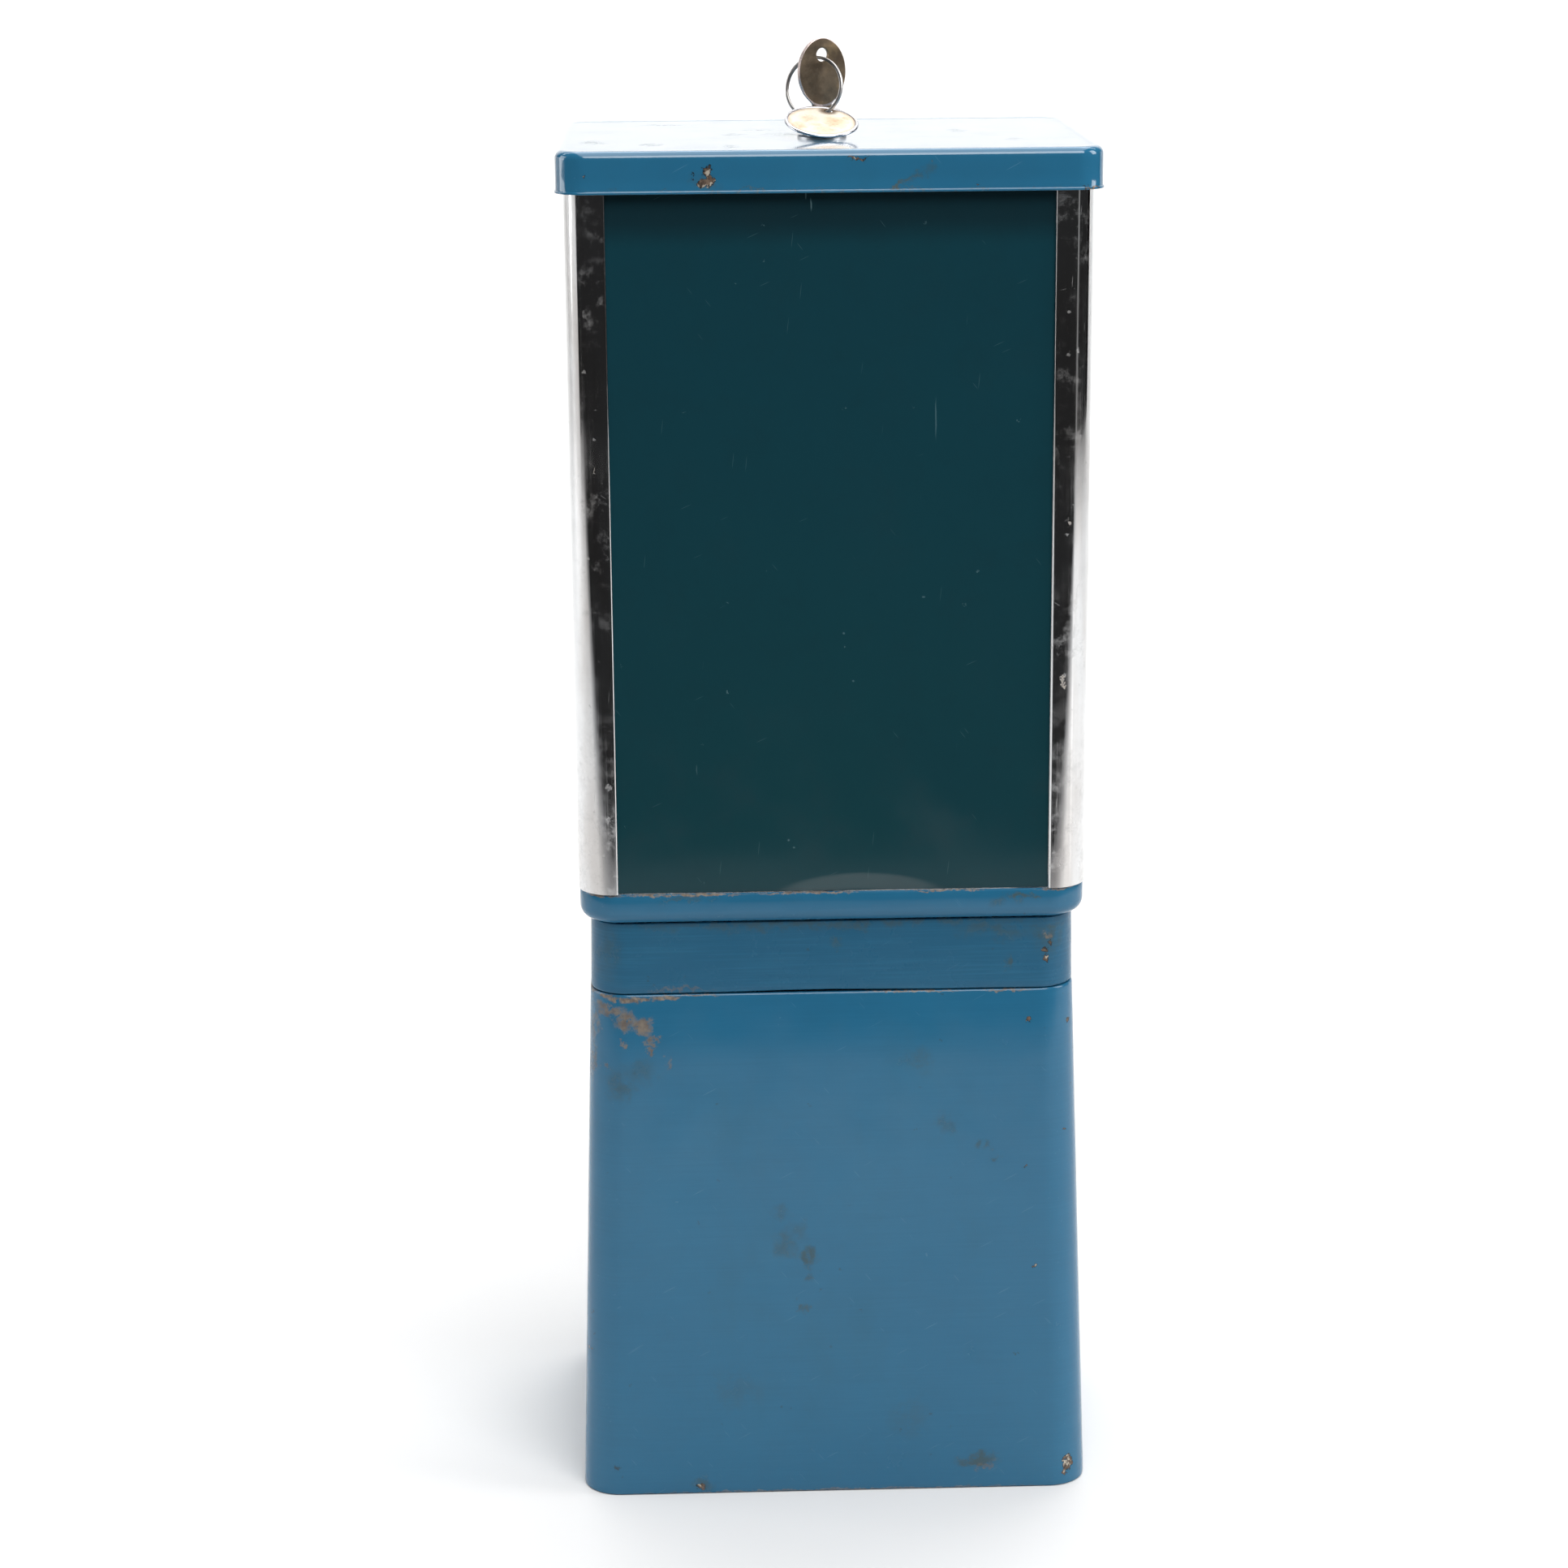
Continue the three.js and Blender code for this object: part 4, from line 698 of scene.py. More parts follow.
# ------------------------------------------------------------------ painted castings
b0, b1 = span("body_shell")
BODY_H = b1.z
W0, D0 = b1.x - b0.x, b1.y - b0.y
W1, D1 = W0 - 13.2, D0 - 13.2


def body_ring(off, z, r=15.0):
    k = z / BODY_H
    w, d = W0 + (W1 - W0) * k + 2 * off, D0 + (D1 - D0) * k + 2 * off
    return [(x, y, z) for x, y in rr(w, d, max(r + off, 1.5), 12, 8)]


prof = [(-2.45, 0.0), (-0.9, 0.0), (-0.38, 0.1), (-0.1, 0.36), (0.0, 0.9), (0.0, 3.0), (0.0, 60), (0.0, 120), (0.0, 180), (0.0, BODY_H - 1.1), (-0.12, BODY_H - 0.45),
        (-0.42, BODY_H - 0.1), (-0.95, BODY_H), (-2.5, BODY_H), (-2.5, BODY_H - 3.9), (-10.5, BODY_H - 3.9), (-10.5, BODY_H - 7), (-2.5, BODY_H - 7), (-2.5, 120), (-2.5, 40)]
bm = ring_loft([body_ring(o, z) for o, z in prof])
bm = boolean(bm, [box_bm(-26.3, 26.3, -80, -60, 20.5, 66), box_bm(-15.5, 15.5, -80, -60, 174, 190), box_bm(-14, 14, -66.6, -50, 190, BODY_H + 1),
                  lathe([(0, -80), (6, -80), (6, -60), (0, -60)], 32, (0, 0, 201.6), "Y")])
new_piece("body_casing", bm, M["body_paint"], "cabinet", ["body_shell"], 30)

n0, n1 = span("neck_housing")


def neck_ring(off, z):
    if z < 213:
        return [(x, y, z + seam_gap(x, y) * (213 - z) / (213 - n0.z)) for x, y, _ in neck_ring_flat(off, z)]
    return neck_ring_flat(off, z)


def seam_gap(x, y):
    """how far the neck stands off the body: a little more in the middle of the rear, and uneven all round"""
    mid = 0.62 * math.exp(-((x - 6) / 30.0) ** 4) if y > 0 else 0.2 * math.exp(-((x + 30) / 26.0) ** 4)
    return mid + 0.14 * (noise.noise(V((x * 0.09, y * 0.09, 1.3))) + 0.6)


def neck_ring_flat(off, z):
    k = (z - n0.z) / (n1.z - n0.z)
    w, d = 189.2 + (188.3 - 189.2) * k + 2 * off, 138.2 + (137.3 - 138.2) * k + 2 * off
    return [(x, y, z) for x, y in rr(w, d, 14.5 + off, 12, 8)]


prof = [(-2.5, n0.z), (-0.9, n0.z), (-0.35, n0.z + 0.15), (-0.05, n0.z + 0.6), (0, n0.z + 1.2), (0, 213.0), (0, 218), (0, 228), (0, n1.z - 0.4), (-0.4, n1.z), (-2.5, n1.z), (-2.5, 224)]
new_piece("neck_casing", ring_loft([neck_ring(o, z) for o, z in prof]), M["neck_paint"], "cabinet", ["neck_housing"], 30)

t0, t1 = span("hopper_tray")
TW, TD = t1.x - t0.x, t1.y - t0.y


def tray_ring(off, z, r=14.5):
    return [(x, y, z) for x, y in rr(TW + 2 * off, TD + 2 * off, max(r + off * 0.8, 2.0), 12, 8)]


def round_ring(r, z, like):
    out = []
    for x, y, _ in like:
        a = math.atan2(y, x)
        out.append((r * math.cos(a), r * math.sin(a), z))
    return out


rings = []
for i in range(9):
    a = i / 8 * math.pi / 2
    rings.append(tray_ring(-5.5 * (1 - math.sin(a)), t0.z + 5.5 * (1 - math.cos(a))))
like = rings[0]
rings += [tray_ring(0, 247.0), tray_ring(0, t1.z - 0.75), tray_ring(-0.2, t1.z - 0.25), tray_ring(-0.7, t1.z), tray_ring(-2.4, t1.z), tray_ring(-2.9, t1.z - 0.3), tray_ring(-3.0, t1.z - 0.9), tray_ring(-3.0, 247.6),
          tray_ring(-4.0, 246.8), round_ring(60, 243.8, like), round_ring(56, 242.9, like), round_ring(55, 242.2, like), round_ring(55, t0.z, like)]
new_piece("tray_casting", ring_loft(rings), M["tray_paint"], "cabinet", ["hopper_tray"], 34)

l0, l1 = span("lid")
LW, LD = l1.x - l0.x, l1.y - l0.y


def lid_ring(off, z, r=11.5):
    return [(x, y, z) for x, y in rr(LW + 2 * off, LD + 2 * off, max(r + off * 0.85, 2.0), 14, 10)]


hem = [(-1.5, l0.z + 0.12), (-0.75, l0.z), (-0.10, l0.z), (0.0, l0.z + 0.10), (0.0, l0.z + 0.62), (-0.10, l0.z + 0.76), (-0.36, l0.z + 0.92), (-0.45, l0.z + 1.15), (-0.45, 525), (-0.45, l1.z - 3.2)]
rings = [lid_ring(o, z) for o, z in hem]
for i in range(1, 9):
    a = i / 8 * math.pi / 2
    rings.append(lid_ring(-0.45 - 3.0 * (1 - math.cos(a)), l1.z - 3.0 + 3.0 * math.sin(a)))
like = rings[-1]
rings += [lid_ring(-4.1, l1.z - 0.02), lid_ring(-4.7, l1.z - 0.15), lid_ring(-5.4, l1.z - 0.22), lid_ring(-8, l1.z - 0.22), lid_ring(-30, l1.z - 0.22), round_ring(30, l1.z - 0.22, like), round_ring(12, l1.z - 0.22, like), round_ring(7.4, l1.z - 0.25, like), round_ring(7.3, l1.z - 1.8, like), round_ring(30, l1.z - 1.8, like),
          lid_ring(-30, l1.z - 1.8), lid_ring(-4.2, l1.z - 1.8), lid_ring(-2.3, l1.z - 2.8), lid_ring(-2.05, l1.z - 4.5), lid_ring(-2.05, l0.z + 0.8)]
new_piece("lid_cover", ring_loft(rings), M["lid_paint"], "lid", ["lid"], 34)


# ------------------------------------------------------------------ posts, panel, panes
def post(name, sx, sy):
    lo, hi = span(name)
    W, D = (hi.x if sx > 0 else -lo.x), (hi.y if sy > 0 else -lo.y)
    R, T, F = 14.0, 1.2, 15.5
    cx, cy, n = W - R, D - R, 22
    e = 0.3
    q = 0.95 if sx < 0 else 0.45
    pts = [(W, D - F + e)]
    pts += [(cx + R * math.cos(i / n * math.pi / 2), cy + R * math.sin(i / n * math.pi / 2)) for i in range(n + 1)]
    pts += [(W - F + q, D), (W - F + q * 0.88, D - q * 0.05), (W - F + q * 0.05, D - q * 0.86), (W - F, D - q), (W - F, D - T + 0.2), (W - F + 0.08, D - T + 0.1), (W - F + e, D - T)]
    pts += [(cx + (R - T) * math.cos(i / n * math.pi / 2), cy + (R - T) * math.sin(i / n * math.pi / 2)) for i in range(n, -1, -1)]
    pts += [(W - T, D - F + e), (W - T + 0.1, D - F + 0.08), (W - T + e, D - F), (W - e, D - F), (W - 0.1, D - F + 0.08)]
    levels = [lo.z, lo.z + 0.25] + [lo.z + (hi.z - lo.z) * k / 12 for k in range(1, 12)] + [hi.z - 0.25, hi.z]
    rings = [[(x * sx, y * sy, z) for x, y in pts] for z in levels]
    new_piece(name + "_sheet", ring_loft(rings, closed=False), M["post_metal"], "cabinet", [name], 38)


post("corner_post_rear_left", 1, 1)
post("corner_post_rear_right", -1, 1)
post("corner_post_front_right", 1, -1)
post("corner_post_front_left", -1, -1)


def pane(name, node, mat, edge=0.25, nx=10, nz=14, bow=0.0):
    """thin sheet with eased edges, finely divided so that it can be very slightly uneven"""
    lo, hi = span(node)
    bm = box_bm(lo.x, hi.x, lo.y, hi.y, lo.z, hi.z)
    thin = min(range(2), key=lambda k: hi[k] - lo[k])
    long_ = 1 - thin
    for axis, cuts in ((long_, nx), (2, nz)):
        edges = [e for e in bm.edges if abs((e.verts[0].co - e.verts[1].co)[axis]) > 1e-3]
        bmesh.ops.subdivide_edges(bm, edges=edges, cuts=cuts, use_grid_fill=True)
    if bow:
        for v in bm.verts:
            u = (v.co[long_] / MM - lo[long_]) / (hi[long_] - lo[long_])
            w = (v.co.z / MM - lo.z) / (hi.z - lo.z)
            inside = 16 * u * (1 - u) * w * (1 - w)
            v.co[thin] += bow * MM * min(1.0, max(0.0, inside)) * noise.noise(V((u * 2.3, w * 4.1, 3.7)))
    return new_piece(name, bm, mat, "cabinet", [node], 40, edge, 2)


pane("rear_sheet", "rear_panel", M["teal_panel"], 0.25, 14, 22, 0.22)
pane("front_pane", "front_window", M["clear_pane"])
pane("side_pane_right", "side_window_right", M["clear_pane"])
pane("side_pane_left", "side_window_left", M["clear_pane"])

# ------------------------------------------------------------------ lock
lk0, lk1 = span("lock_barrel")
F = lk1.z
new_piece("lock_body", lathe([
    (5.3, lk0.z), (6.7, lk0.z), (7.0, lk0.z + 0.3), (7.0, l1.z + 0.3), (9.2, l1.z + 0.3), (9.45, l1.z + 0.45), (9.5, l1.z + 0.8), (9.5, F - 1.3),
    (9.3, F - 0.75), (8.8, F - 0.3), (8.1, F - 0.06), (7.6, F), (5.75, F), (5.42, F - 0.15), (5.3, F - 0.5)], 72), M["lock_satin"], "lid", ["lock_barrel"], 40)
ROT = Matrix.Rotation(KEY_TURN, 4, "Z")
slot_cut = box_bm(-3.6, 3.6, -1.3, 1.3, 511.5, 540)
slot_cut.transform(ROT)
pl0, pl1 = span("lock_plug")
new_piece("lock_core", boolean(lathe([(0, pl0.z), (4.7, pl0.z), (5.0, pl0.z + 0.3), (5.0, pl1.z - 0.35), (4.65, pl1.z), (0, pl1.z)], 48), [slot_cut]),
          M["brass"], "lock_plug", ["lock_plug"], 35)

# ------------------------------------------------------------------ key
k0, k1 = span("key")
TOP = k1.z
BZ = TOP - 12.7
outline = []
for i in range(64):
    a = -math.pi / 2 + 2 * math.pi * (i + 0.5) / 64
    x, z = 10.0 * math.cos(a), BZ + 12.7 * math.sin(a)
    if z < BZ - 10.6 and abs(x) < 6.2:
        continue
    outline.append((x, z))
outline.sort(key=lambda p: math.atan2(p[1] - BZ, p[0]) if math.atan2(p[1] - BZ, p[0]) > -math.pi / 2 else math.atan2(p[1] - BZ, p[0]) + 2 * math.pi)
neck = [(-5.0, BZ - 11.1), (-4.1, BZ - 12.0), (-3.72, BZ - 13.2), (-3.7, F + 1.0), (-3.5, F + 0.45), (-3.2, F - 0.2), (-3.2, 515.4), (-1.4, k0.z), (1.1, k0.z), (3.2, 515.4), (3.2, 516.2), (1.6, 517.6), (1.6, 519.4),
        (3.2, 520.5), (3.2, 521.3), (2.1, 522.2), (2.1, 523.8), (3.2, 524.7), (3.2, 525.7), (1.3, 527), (1.3, 528.6), (3.2, 529.9), (3.2, F - 0.2), (3.5, F + 0.45), (3.7, F + 1.0), (3.72, BZ - 13.2), (4.1, BZ - 12.0), (5.0, BZ - 11.1)]
outline = outline + neck
kb = plate(outline, [circ(2.6, 40, 0, 563.7)], 1.96, 0.28, 3)
kb.transform(TO_XZ)
face = lambda y0, y1: plate([(p[0] * 0.80, BZ + (p[1] - BZ) * 0.80) for p in [(10.0 * math.cos(2 * math.pi * i / 56), BZ + 12.7 * math.sin(2 * math.pi * i / 56)) for i in range(56)]], [], 0.5, 0.12, 2)
kb.transform(ROT)
BOW_Z = BZ
M["bronze_key"] = bronze_key()
key = new_piece("key_blank", kb, M["bronze_key"], "key", ["key"], 38)

# ------------------------------------------------------------------ split ring and tag
wdir = V((math.cos(KEY_TURN), math.sin(KEY_TURN), 0))
H = V((0, 0, 562.5))
C = wdir * 6.7 + V((0, 0, 540.6))
O = (H + C) / 2
RR = (H - C).length / 2
U = (C - H).normalized()
tf = V((-0.883, 0.469, 0))
E2 = (tf - U * tf.dot(U)).normalized()
N3 = U.cross(E2).normalized()


def split_ring():
    bm = bmesh.new()
    steps, sides = 240, 12
    wire, pitch = 0.325, 0.68
    rows = []
    start = math.radians(250)
    for i in range(steps + 1):
        u = i / steps
        a = start + u * 4 * math.pi
        # two flat turns with a short step between them, as a stamped split ring has
        s = (u - 0.5) / 0.055
        lift = pitch * (max(-1.0, min(1.0, s)) * 0.5)
        taper = min(1.0, (0.25 + min(u, 1 - u) / 0.010))
        c = U * (-math.cos(a)) + E2 * math.sin(a)
        p = O + c * RR + N3 * lift
        row = []
        for k in range(sides):
            t = 2 * math.pi * k / sides
            cx = math.copysign(abs(math.cos(t)) ** 0.75, math.cos(t)) * 0.64 * taper
            cz = math.copysign(abs(math.sin(t)) ** 0.75, math.sin(t)) * wire * taper
            q = p + c * cx + N3 * cz
            row.append(bm.verts.new(q * MM))
        rows.append(row)
    for a, b in zip(rows, rows[1:]):
        for k in range(sides):
            j = (k + 1) % sides
            bm.faces.new((a[k], a[j], b[j], b[k]))
    bm.faces.new(list(reversed(rows[0])))
    bm.faces.new(rows[-1])
    return bm


new_piece("split_ring", split_ring(), M["ring_steel"], "key_ring", ["key_ring"], 50)

th = math.radians(132)
P = O - U * (RR * math.cos(th)) + E2 * (RR * math.sin(th))
tilt, lean = math.radians(19), math.radians(12)
DOWN = V((-math.sin(lean) * math.cos(tilt), math.cos(lean) * math.cos(tilt), -math.sin(tilt)))
NT = V((-math.sin(lean) * math.sin(tilt), math.cos(lean) * math.sin(tilt), math.cos(tilt)))
XT = DOWN.cross(NT).normalized()
hole = math.radians(-27.5)
hx, hy = 10.9 * math.sin(hole), -10.9 * math.cos(hole)
TC = P - XT * hx - DOWN * hy
TAG = Matrix(((XT.x, DOWN.x, NT.x, TC.x * MM), (XT.y, DOWN.y, NT.y, TC.y * MM), (XT.z, DOWN.z, NT.z, TC.z * MM), (0, 0, 0, 1)))
card = plate(circ(12.95, 72), [circ(1.75, 28, hx, hy)], 0.44, 0.1, 2)
card.transform(TAG)
M["tag_card"] = tag_card(TC, XT, DOWN, P)
new_piece("tag_card", card, M["tag_card"], "key_tag", ["key_tag_card"], 40)
rim = lathe([(12.75, 0.30), (13.0, 0.50), (13.4, 0.58), (13.9, 0.50), (14.22, 0.26), (14.3, 0.0), (14.22, -0.26), (13.9, -0.50), (13.4, -0.58), (13.0, -0.50), (12.75, -0.30), (12.75, -0.24), (13.1, -0.22), (13.1, 0.22), (12.75, 0.24)], 96)
rim.transform(TAG)
M["rim_metal"] = polished("rim_metal", (0.68, 0.68, 0.72), 0.20, 0.18, 0.8, tone=(0.52, 0.51, 0.54))
new_piece("tag_rim", rim, M["rim_metal"], "key_tag", ["key_tag_rim"], 50)

# ------------------------------------------------------------------ coin mechanism, front
m0, m1 = span("mech_housing")
zc = (m0.z + m1.z) / 2
hw, hh = m1.x, (m1.z - m0.z) / 2


def mech_ring(off, y, r=12.0):
    return [(x, y, z + zc) for x, z in reversed(rr(2 * (hw + off), 2 * (hh + off), max(r + off, 1.0), 12, 6))]


y0, y1 = m0.y, m1.y
prof = [(-2.5, y0), (-0.5, y0), (-0.12, y0 + 0.15), (0, y0 + 0.5), (0, (y0 + y1) / 2), (0, y1 - 0.9), (-0.25, y1 - 0.25), (-0.9, y1)]
outer = ring_loft([mech_ring(o, y) for o, y in [(-0.5, y0), (-0.12, y0 + 0.15), (0, y0 + 0.5), (0, (y0 + y1) / 2), (0, y1 - 0.9), (-0.25, y1 - 0.25), (-0.9, y1)]], closed=False)
inner = ring_loft([mech_ring(-2.5, y0 - 1), mech_ring(-2.5, y1 - 2.5)], closed=False)
housing = boolean(outer, [inner, box_bm(-13, 13, -84.7, -81.4, m1.z - 5.5, m1.z + 1), lathe([(0, -80), (3.8, -80), (3.8, -60), (0, -60)], 40, (0, 0, 201.6), "Y"),
                          box_bm(-14, 14, -80, -60, 175, 189)])
new_piece("mech_casting", housing, M["chrome"], "cabinet", ["mech_housing"], 32)

f0, f1 = span("mech_faceplate")
fp = plate([(x, z) for x, z in rr(2 * hw, 2 * hh, 12.0, 14, 2)], [circ(3.8, 40, 0, 201.6 - zc)] + [circ(1.8, 24, x, z) for x in (-20, 20) for z in (-hh + 12, hh - 12)], 2.5, 0.7, 4)
fp.transform(Matrix.Translation(V((0, y0 - 1.55, zc)) * MM) @ TO_XZ)
dish = lathe([(3.8, y0 - 2.6), (13.0, y0 - 2.6), (12.9, y0 - 3.2), (12.5, y0 - 3.8), (11.8, y0 - 4.25), (11.0, y0 - 4.4), (4.3, y0 - 4.4), (3.8, y0 - 4.1)], 72, (0, 0, 201.6), "Y")
new_piece("mech_face", merge(fp, dish), M["chrome"], "cabinet", ["mech_faceplate"], 40)

for nm in ("upper_left", "upper_right", "lower_left", "lower_right"):
    s0, s1 = span("mech_screw_" + nm)
    cx, cz = (s0.x + s1.x) / 2, (s0.z + s1.z) / 2
    head = lathe([(0, -88 + 2), (1.5, -88 + 2), (1.5, -91.1), (3.1, -91.1), (3.05, -91.6), (2.7, -92.1), (2.1, -92.4), (1.2, -92.55), (0, -92.6)], 40, (cx, 0, cz), "Y")
    bite = box_bm(cx - 4, cx + 4, -93.2, -92.05, cz - 0.4, cz + 0.4)
    bite.transform(Matrix.Translation(V((cx, 0, cz)) * MM) @ Matrix.Rotation(0.6 * (cx + cz), 4, "Y") @ Matrix.Translation(V((-cx, 0, -cz)) * MM))
    new_piece("screw_" + nm, boolean(head, [bite]), M["steel"], "cabinet", ["mech_screw_" + nm], 35)

h0, h1 = span("handle")
zs = 201.6
wing = []
half = [(0, 5.0), (6, 5.3), (12, 6.2), (16.5, 7.0), (20, 7.2), (22.8, 6.6), (24.8, 5.0), (25.8, 2.6), (26, 0)]
wing = [(x, z) for x, z in half] + [(x, -z) for x, z in reversed(half[:-1])] + [(-x, -z) for x, z in half[1:]] + [(-x, z) for x, z in reversed(half[1:-1])]
wing = list(reversed(wing))
wp = plate(wing, [circ(2.35, 32)], 11.5, 1.6, 5)
wp.transform(Matrix.Translation(V((0, (-109 - 97.5) / 2, zs)) * MM) @ TO_XZ)
hub = lathe([(3.8, -92.9), (11.6, -92.9), (12.2, -93.3), (12.4, -94.0), (11.9, -97.0), (10.6, -99.0), (9.9, -103.0), (9.2, -106.2), (8.2, -106.9), (3.8, -106.9)], 72, (0, 0, zs), "Y")
new_piece("turn_handle", merge(wp, hub), M["chrome"], "handle", ["handle"], 40)
hs = lathe([(0, -101.4), (2.0, -101.4), (2.0, -109.3), (4.0, -109.3), (3.95, -109.8), (3.4, -110.3), (2.2, -110.55), (0, -110.6)], 40, (0, 0, zs), "Y")
new_piece("handle_bolt", boolean(hs, [box_bm(-5, 5, -111, -110.1, zs - 0.5, zs + 0.5)]), M["steel"], "handle", ["handle_screw"], 35)

# ------------------------------------------------------------------ chute mouth
z0, z1 = span("chute_bezel")
bw, bh, bz = z1.x, (z1.z - z0.z) / 2, (z0.z + z1.z) / 2
bz_p = plate([(x, z) for x, z in rr(2 * bw, 2 * bh, 8.0, 14, 2)], [[(x, z + (45.5 - bz)) for x, z in rr(50, 47, 1.2, 6, 2)]], 4.6, 1.1, 5)
bz_p.transform(Matrix.Translation(V((0, (z0.y + z1.y) / 2, bz)) * MM) @ TO_XZ)
new_piece("mouth_bezel", bz_p, M["chrome"], "cabinet", ["chute_bezel"], 40)

d0, d1 = span("chute_door")
py, pz = -79.2, 65.5
flap = plate([(x, z) for x, z in rr(48.8, 40.6, 1.5, 6, 2)], [], 1.7, 0.35, 3)
flap.transform(Matrix.Translation(V((0, py, 23.4 + 20.3)) * MM) @ TO_XZ)
barrel = lathe([(1.5, -24.4), (2.5, -24.4), (2.7, -24.1), (2.7, 24.1), (2.5, 24.4), (1.5, 24.4)], 40, (0, py, pz), "X")
lip = []
for k, x in enumerate([-14, -13.4, -10, 0, 10, 13.4, 14]):
    e = 0.6 if k in (0, 6) else (0.15 if k in (1, 5) else 0.0)
    pts = [(py - 0.3, 24.6), (py - 5.2 + e, 24.5), (py - 6.2 + e, 24.7), (py - 6.5 + e, 25.4), (py - 6.3 + e, 26.3), (py - 5.6 + e, 26.4), (py - 5.0 + e, 26.1), (py - 0.3, 26.1)]
    lip.append([(x, y, z) for y, z in pts])
new_piece("mouth_flap", merge(flap, barrel, ring_loft(lip, closed=False)), M["chrome"], "chute_door", ["chute_door"], 40)

# ------------------------------------------------------------------ carried-over CAD nodes: better edges and finishes
FINISH = {
    "base_plate": "steel", "wheel_base_plate": "sheet_steel", "exit_duct": "sheet_steel", "chute": "sheet_steel", "cash_box": "sheet_steel", "coin_slide": "sheet_steel",
    "centre_rod": "steel", "wheel_bushing": "brass", "rod_collar": "steel", "lid_catch": "sheet_steel", "catch_nut_lower": "steel", "catch_nut_upper": "steel",
    "brush_hood": "sheet_steel", "exit_brush": "bristles", "pawl_pin": "steel", "chute_hinge_pin": "steel", "lock_nut": "steel", "lock_cam": "steel",
    "handle_shaft": "steel", "coin_carrier": "brass", "ratchet_wheel": "steel", "drive_pinion": "brass", "dispensing_wheel": "white_plastic", "agitator": "steel", "pawl": "steel",
}
for node, look in FINISH.items():
    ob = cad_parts[node]
    ob.data.materials.clear()
    ob.data.materials.append(M[look])
    for p in ob.data.polygons:
        p.material_index = 0
        p.use_smooth = True
    w = ob.modifiers.new("weld", "WELD")
    w.merge_threshold = 2e-6
    d = ob.modifiers.new("planes", "DECIMATE")
    d.decimate_type, d.angle_limit = "DISSOLVE", math.radians(0.6)
    b = ob.modifiers.new("bevel", "BEVEL")
    b.width, b.segments, b.limit_method, b.angle_limit = 0.18 * MM, 2, "ANGLE", math.radians(34)
    b.use_clamp_overlap, b.harden_normals = True, True

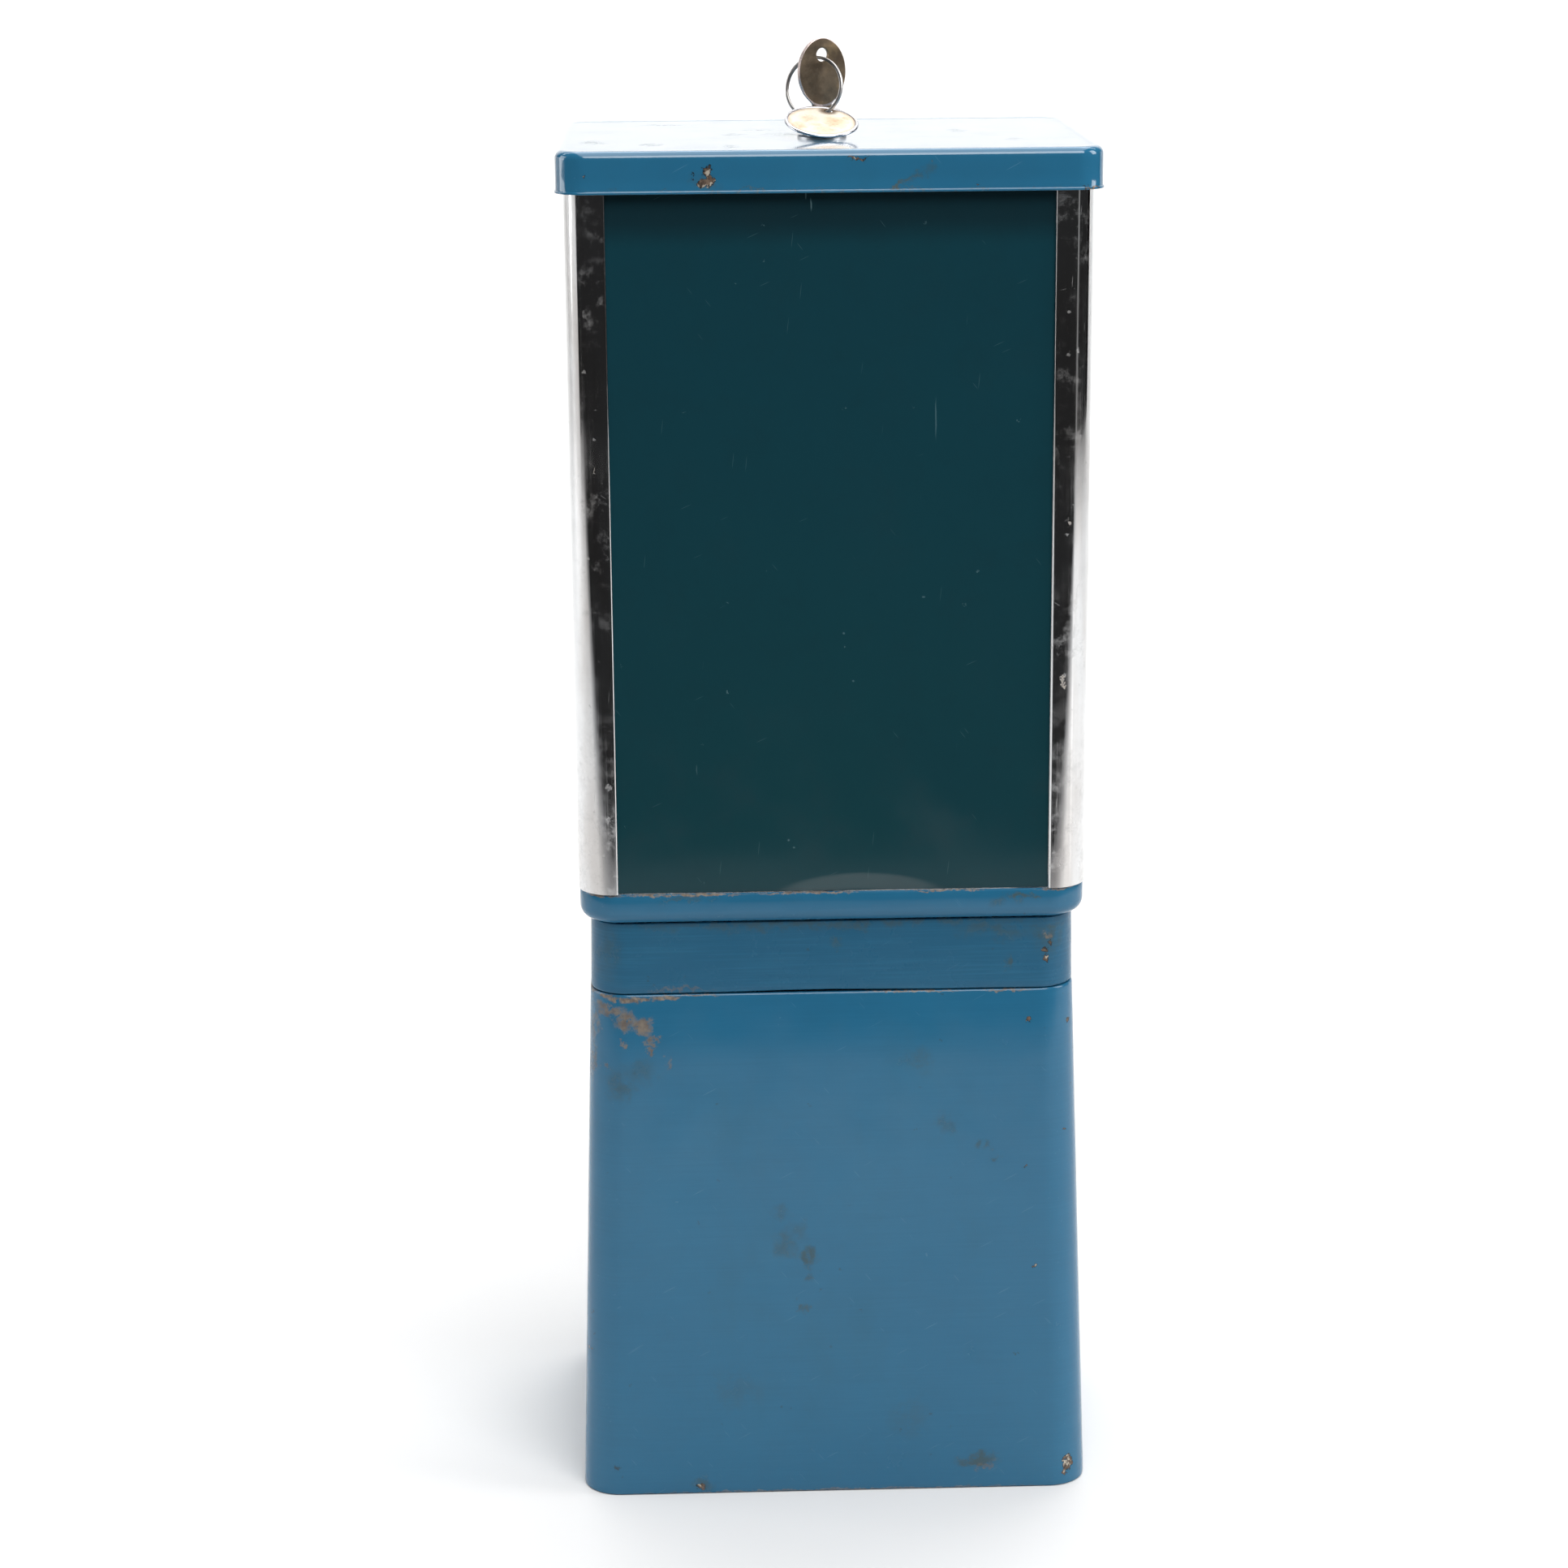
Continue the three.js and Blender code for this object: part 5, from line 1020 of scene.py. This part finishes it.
# ------------------------------------------------------------------ floor and light
def sweep():
    """seamless sweep: floor, curve and back wall, pale, with the floor painted dark towards the camera as painted
    fall-off of the light
    """
    bm = bmesh.new()
    prof = [(0.98, 0.0), (0.6, 0.0), (0.0, 0.0), (-0.8, 0.0), (-1.6, 0.0)]
    for i in range(1, 13):
        a = i / 12 * math.pi / 2
        prof.append((-1.6 - 0.8 * math.sin(a), 0.8 * (1 - math.cos(a))))
    prof += [(-2.4, 1.8), (-2.4, 3.0)]
    xs = [-2.6, -1.3, 0, 1.3, 2.6]
    vs = [[bm.verts.new((x, y, z - 0.0002)) for x in xs] for y, z in prof]
    for a, b in zip(vs, vs[1:]):
        for i in range(len(xs) - 1):
            bm.faces.new((a[i], a[i + 1], b[i + 1], b[i]))
    for x, y_end in ((2.6, 0.34), (-2.6, -1.30)):
        ys = [-2.4, -1.6, -0.8, y_end]
        w = [[bm.verts.new((x, y, z)) for y in ys] for z in (-0.0002, 0.5, 1.1)]
        for a, b in zip(w, w[1:]):
            for i in range(len(ys) - 1):
                bm.faces.new((a[i], a[i + 1], b[i + 1], b[i]))
    me = bpy.data.meshes.new("sweep")
    bmesh.ops.recalc_face_normals(bm, faces=bm.faces)
    bm.to_mesh(me)
    bm.free()
    ob = bpy.data.objects.new("sweep", me)
    bpy.context.scene.collection.objects.link(ob)
    t = Tree("sweep_paper")
    sp = t.nt.nodes.new("ShaderNodeSeparateXYZ")
    t.link(t.pos, sp.inputs[0])
    paper = t.mix(t.noise(3.0, 2.0, 0.5), (0.785, 0.785, 0.785), (0.815, 0.81, 0.805))
    # floor colour darkens from y 0.62 m to 0.96 m towards the camera: painted shade standing for the fall-off of the
    # light in front
    t.set(Base_Color=t.mix(t.ramp(sp.outputs["Y"], 0.62, 0.96), paper, (0.20, 0.20, 0.205)), Roughness=0.85)
    t.bsdf.inputs["Specular IOR Level"].default_value = 0.2
    me.materials.append(t.mat)
    for p in me.polygons:
        p.use_smooth = True


sweep()


def area(name, loc, target, size, power, colour=(1, 1, 1)):
    la = bpy.data.lights.new(name, "AREA")
    la.shape, la.size, la.size_y, la.energy, la.color = "RECTANGLE", size[0], size[1], power, colour
    o = bpy.data.objects.new(name, la)
    bpy.context.scene.collection.objects.link(o)
    o.location = loc
    o.rotation_euler = (V(target) - V(loc)).to_track_quat("-Z", "Y").to_euler()
    return o


area("top_light", (-0.25, -0.2, 2.6), (-0.2, -0.2, 0), (3.8, 1.9), 56)
area("front_fill", (-0.40, 1.40, 1.65), (0, 0.12, 0.0), (1.5, 0.9), 25)
area("back_light", (0.0, -1.2, 2.4), (0, -2.4, 0.9), (4.0, 1.0), 46)
area("low_strip", (-0.93, 0.40, 0.21), (0, 0.06, 0.30), (0.085, 0.46), 0.028)
area("side_left", (2.4, -0.3, 1.0), (0, 0.0, 0.25), (1.2, 1.8), 19)
area("side_right", (-2.2, 0.40, 1.4), (0, 0.1, 0.2), (0.9, 1.5), 22)

world = bpy.data.worlds.new("world")
bpy.context.scene.world = world
world.use_nodes = True
bg = world.node_tree.nodes.get("Background") or world.node_tree.nodes.new("ShaderNodeBackground")
bg.inputs["Color"].default_value = (0.97, 0.98, 1.0, 1.0)
bg.inputs["Strength"].default_value = 0.022
out = world.node_tree.nodes.get("World Output") or world.node_tree.nodes.new("ShaderNodeOutputWorld")
world.node_tree.links.new(bg.outputs[0], out.inputs[0])
bpy.context.scene.view_settings.view_transform = "Standard"
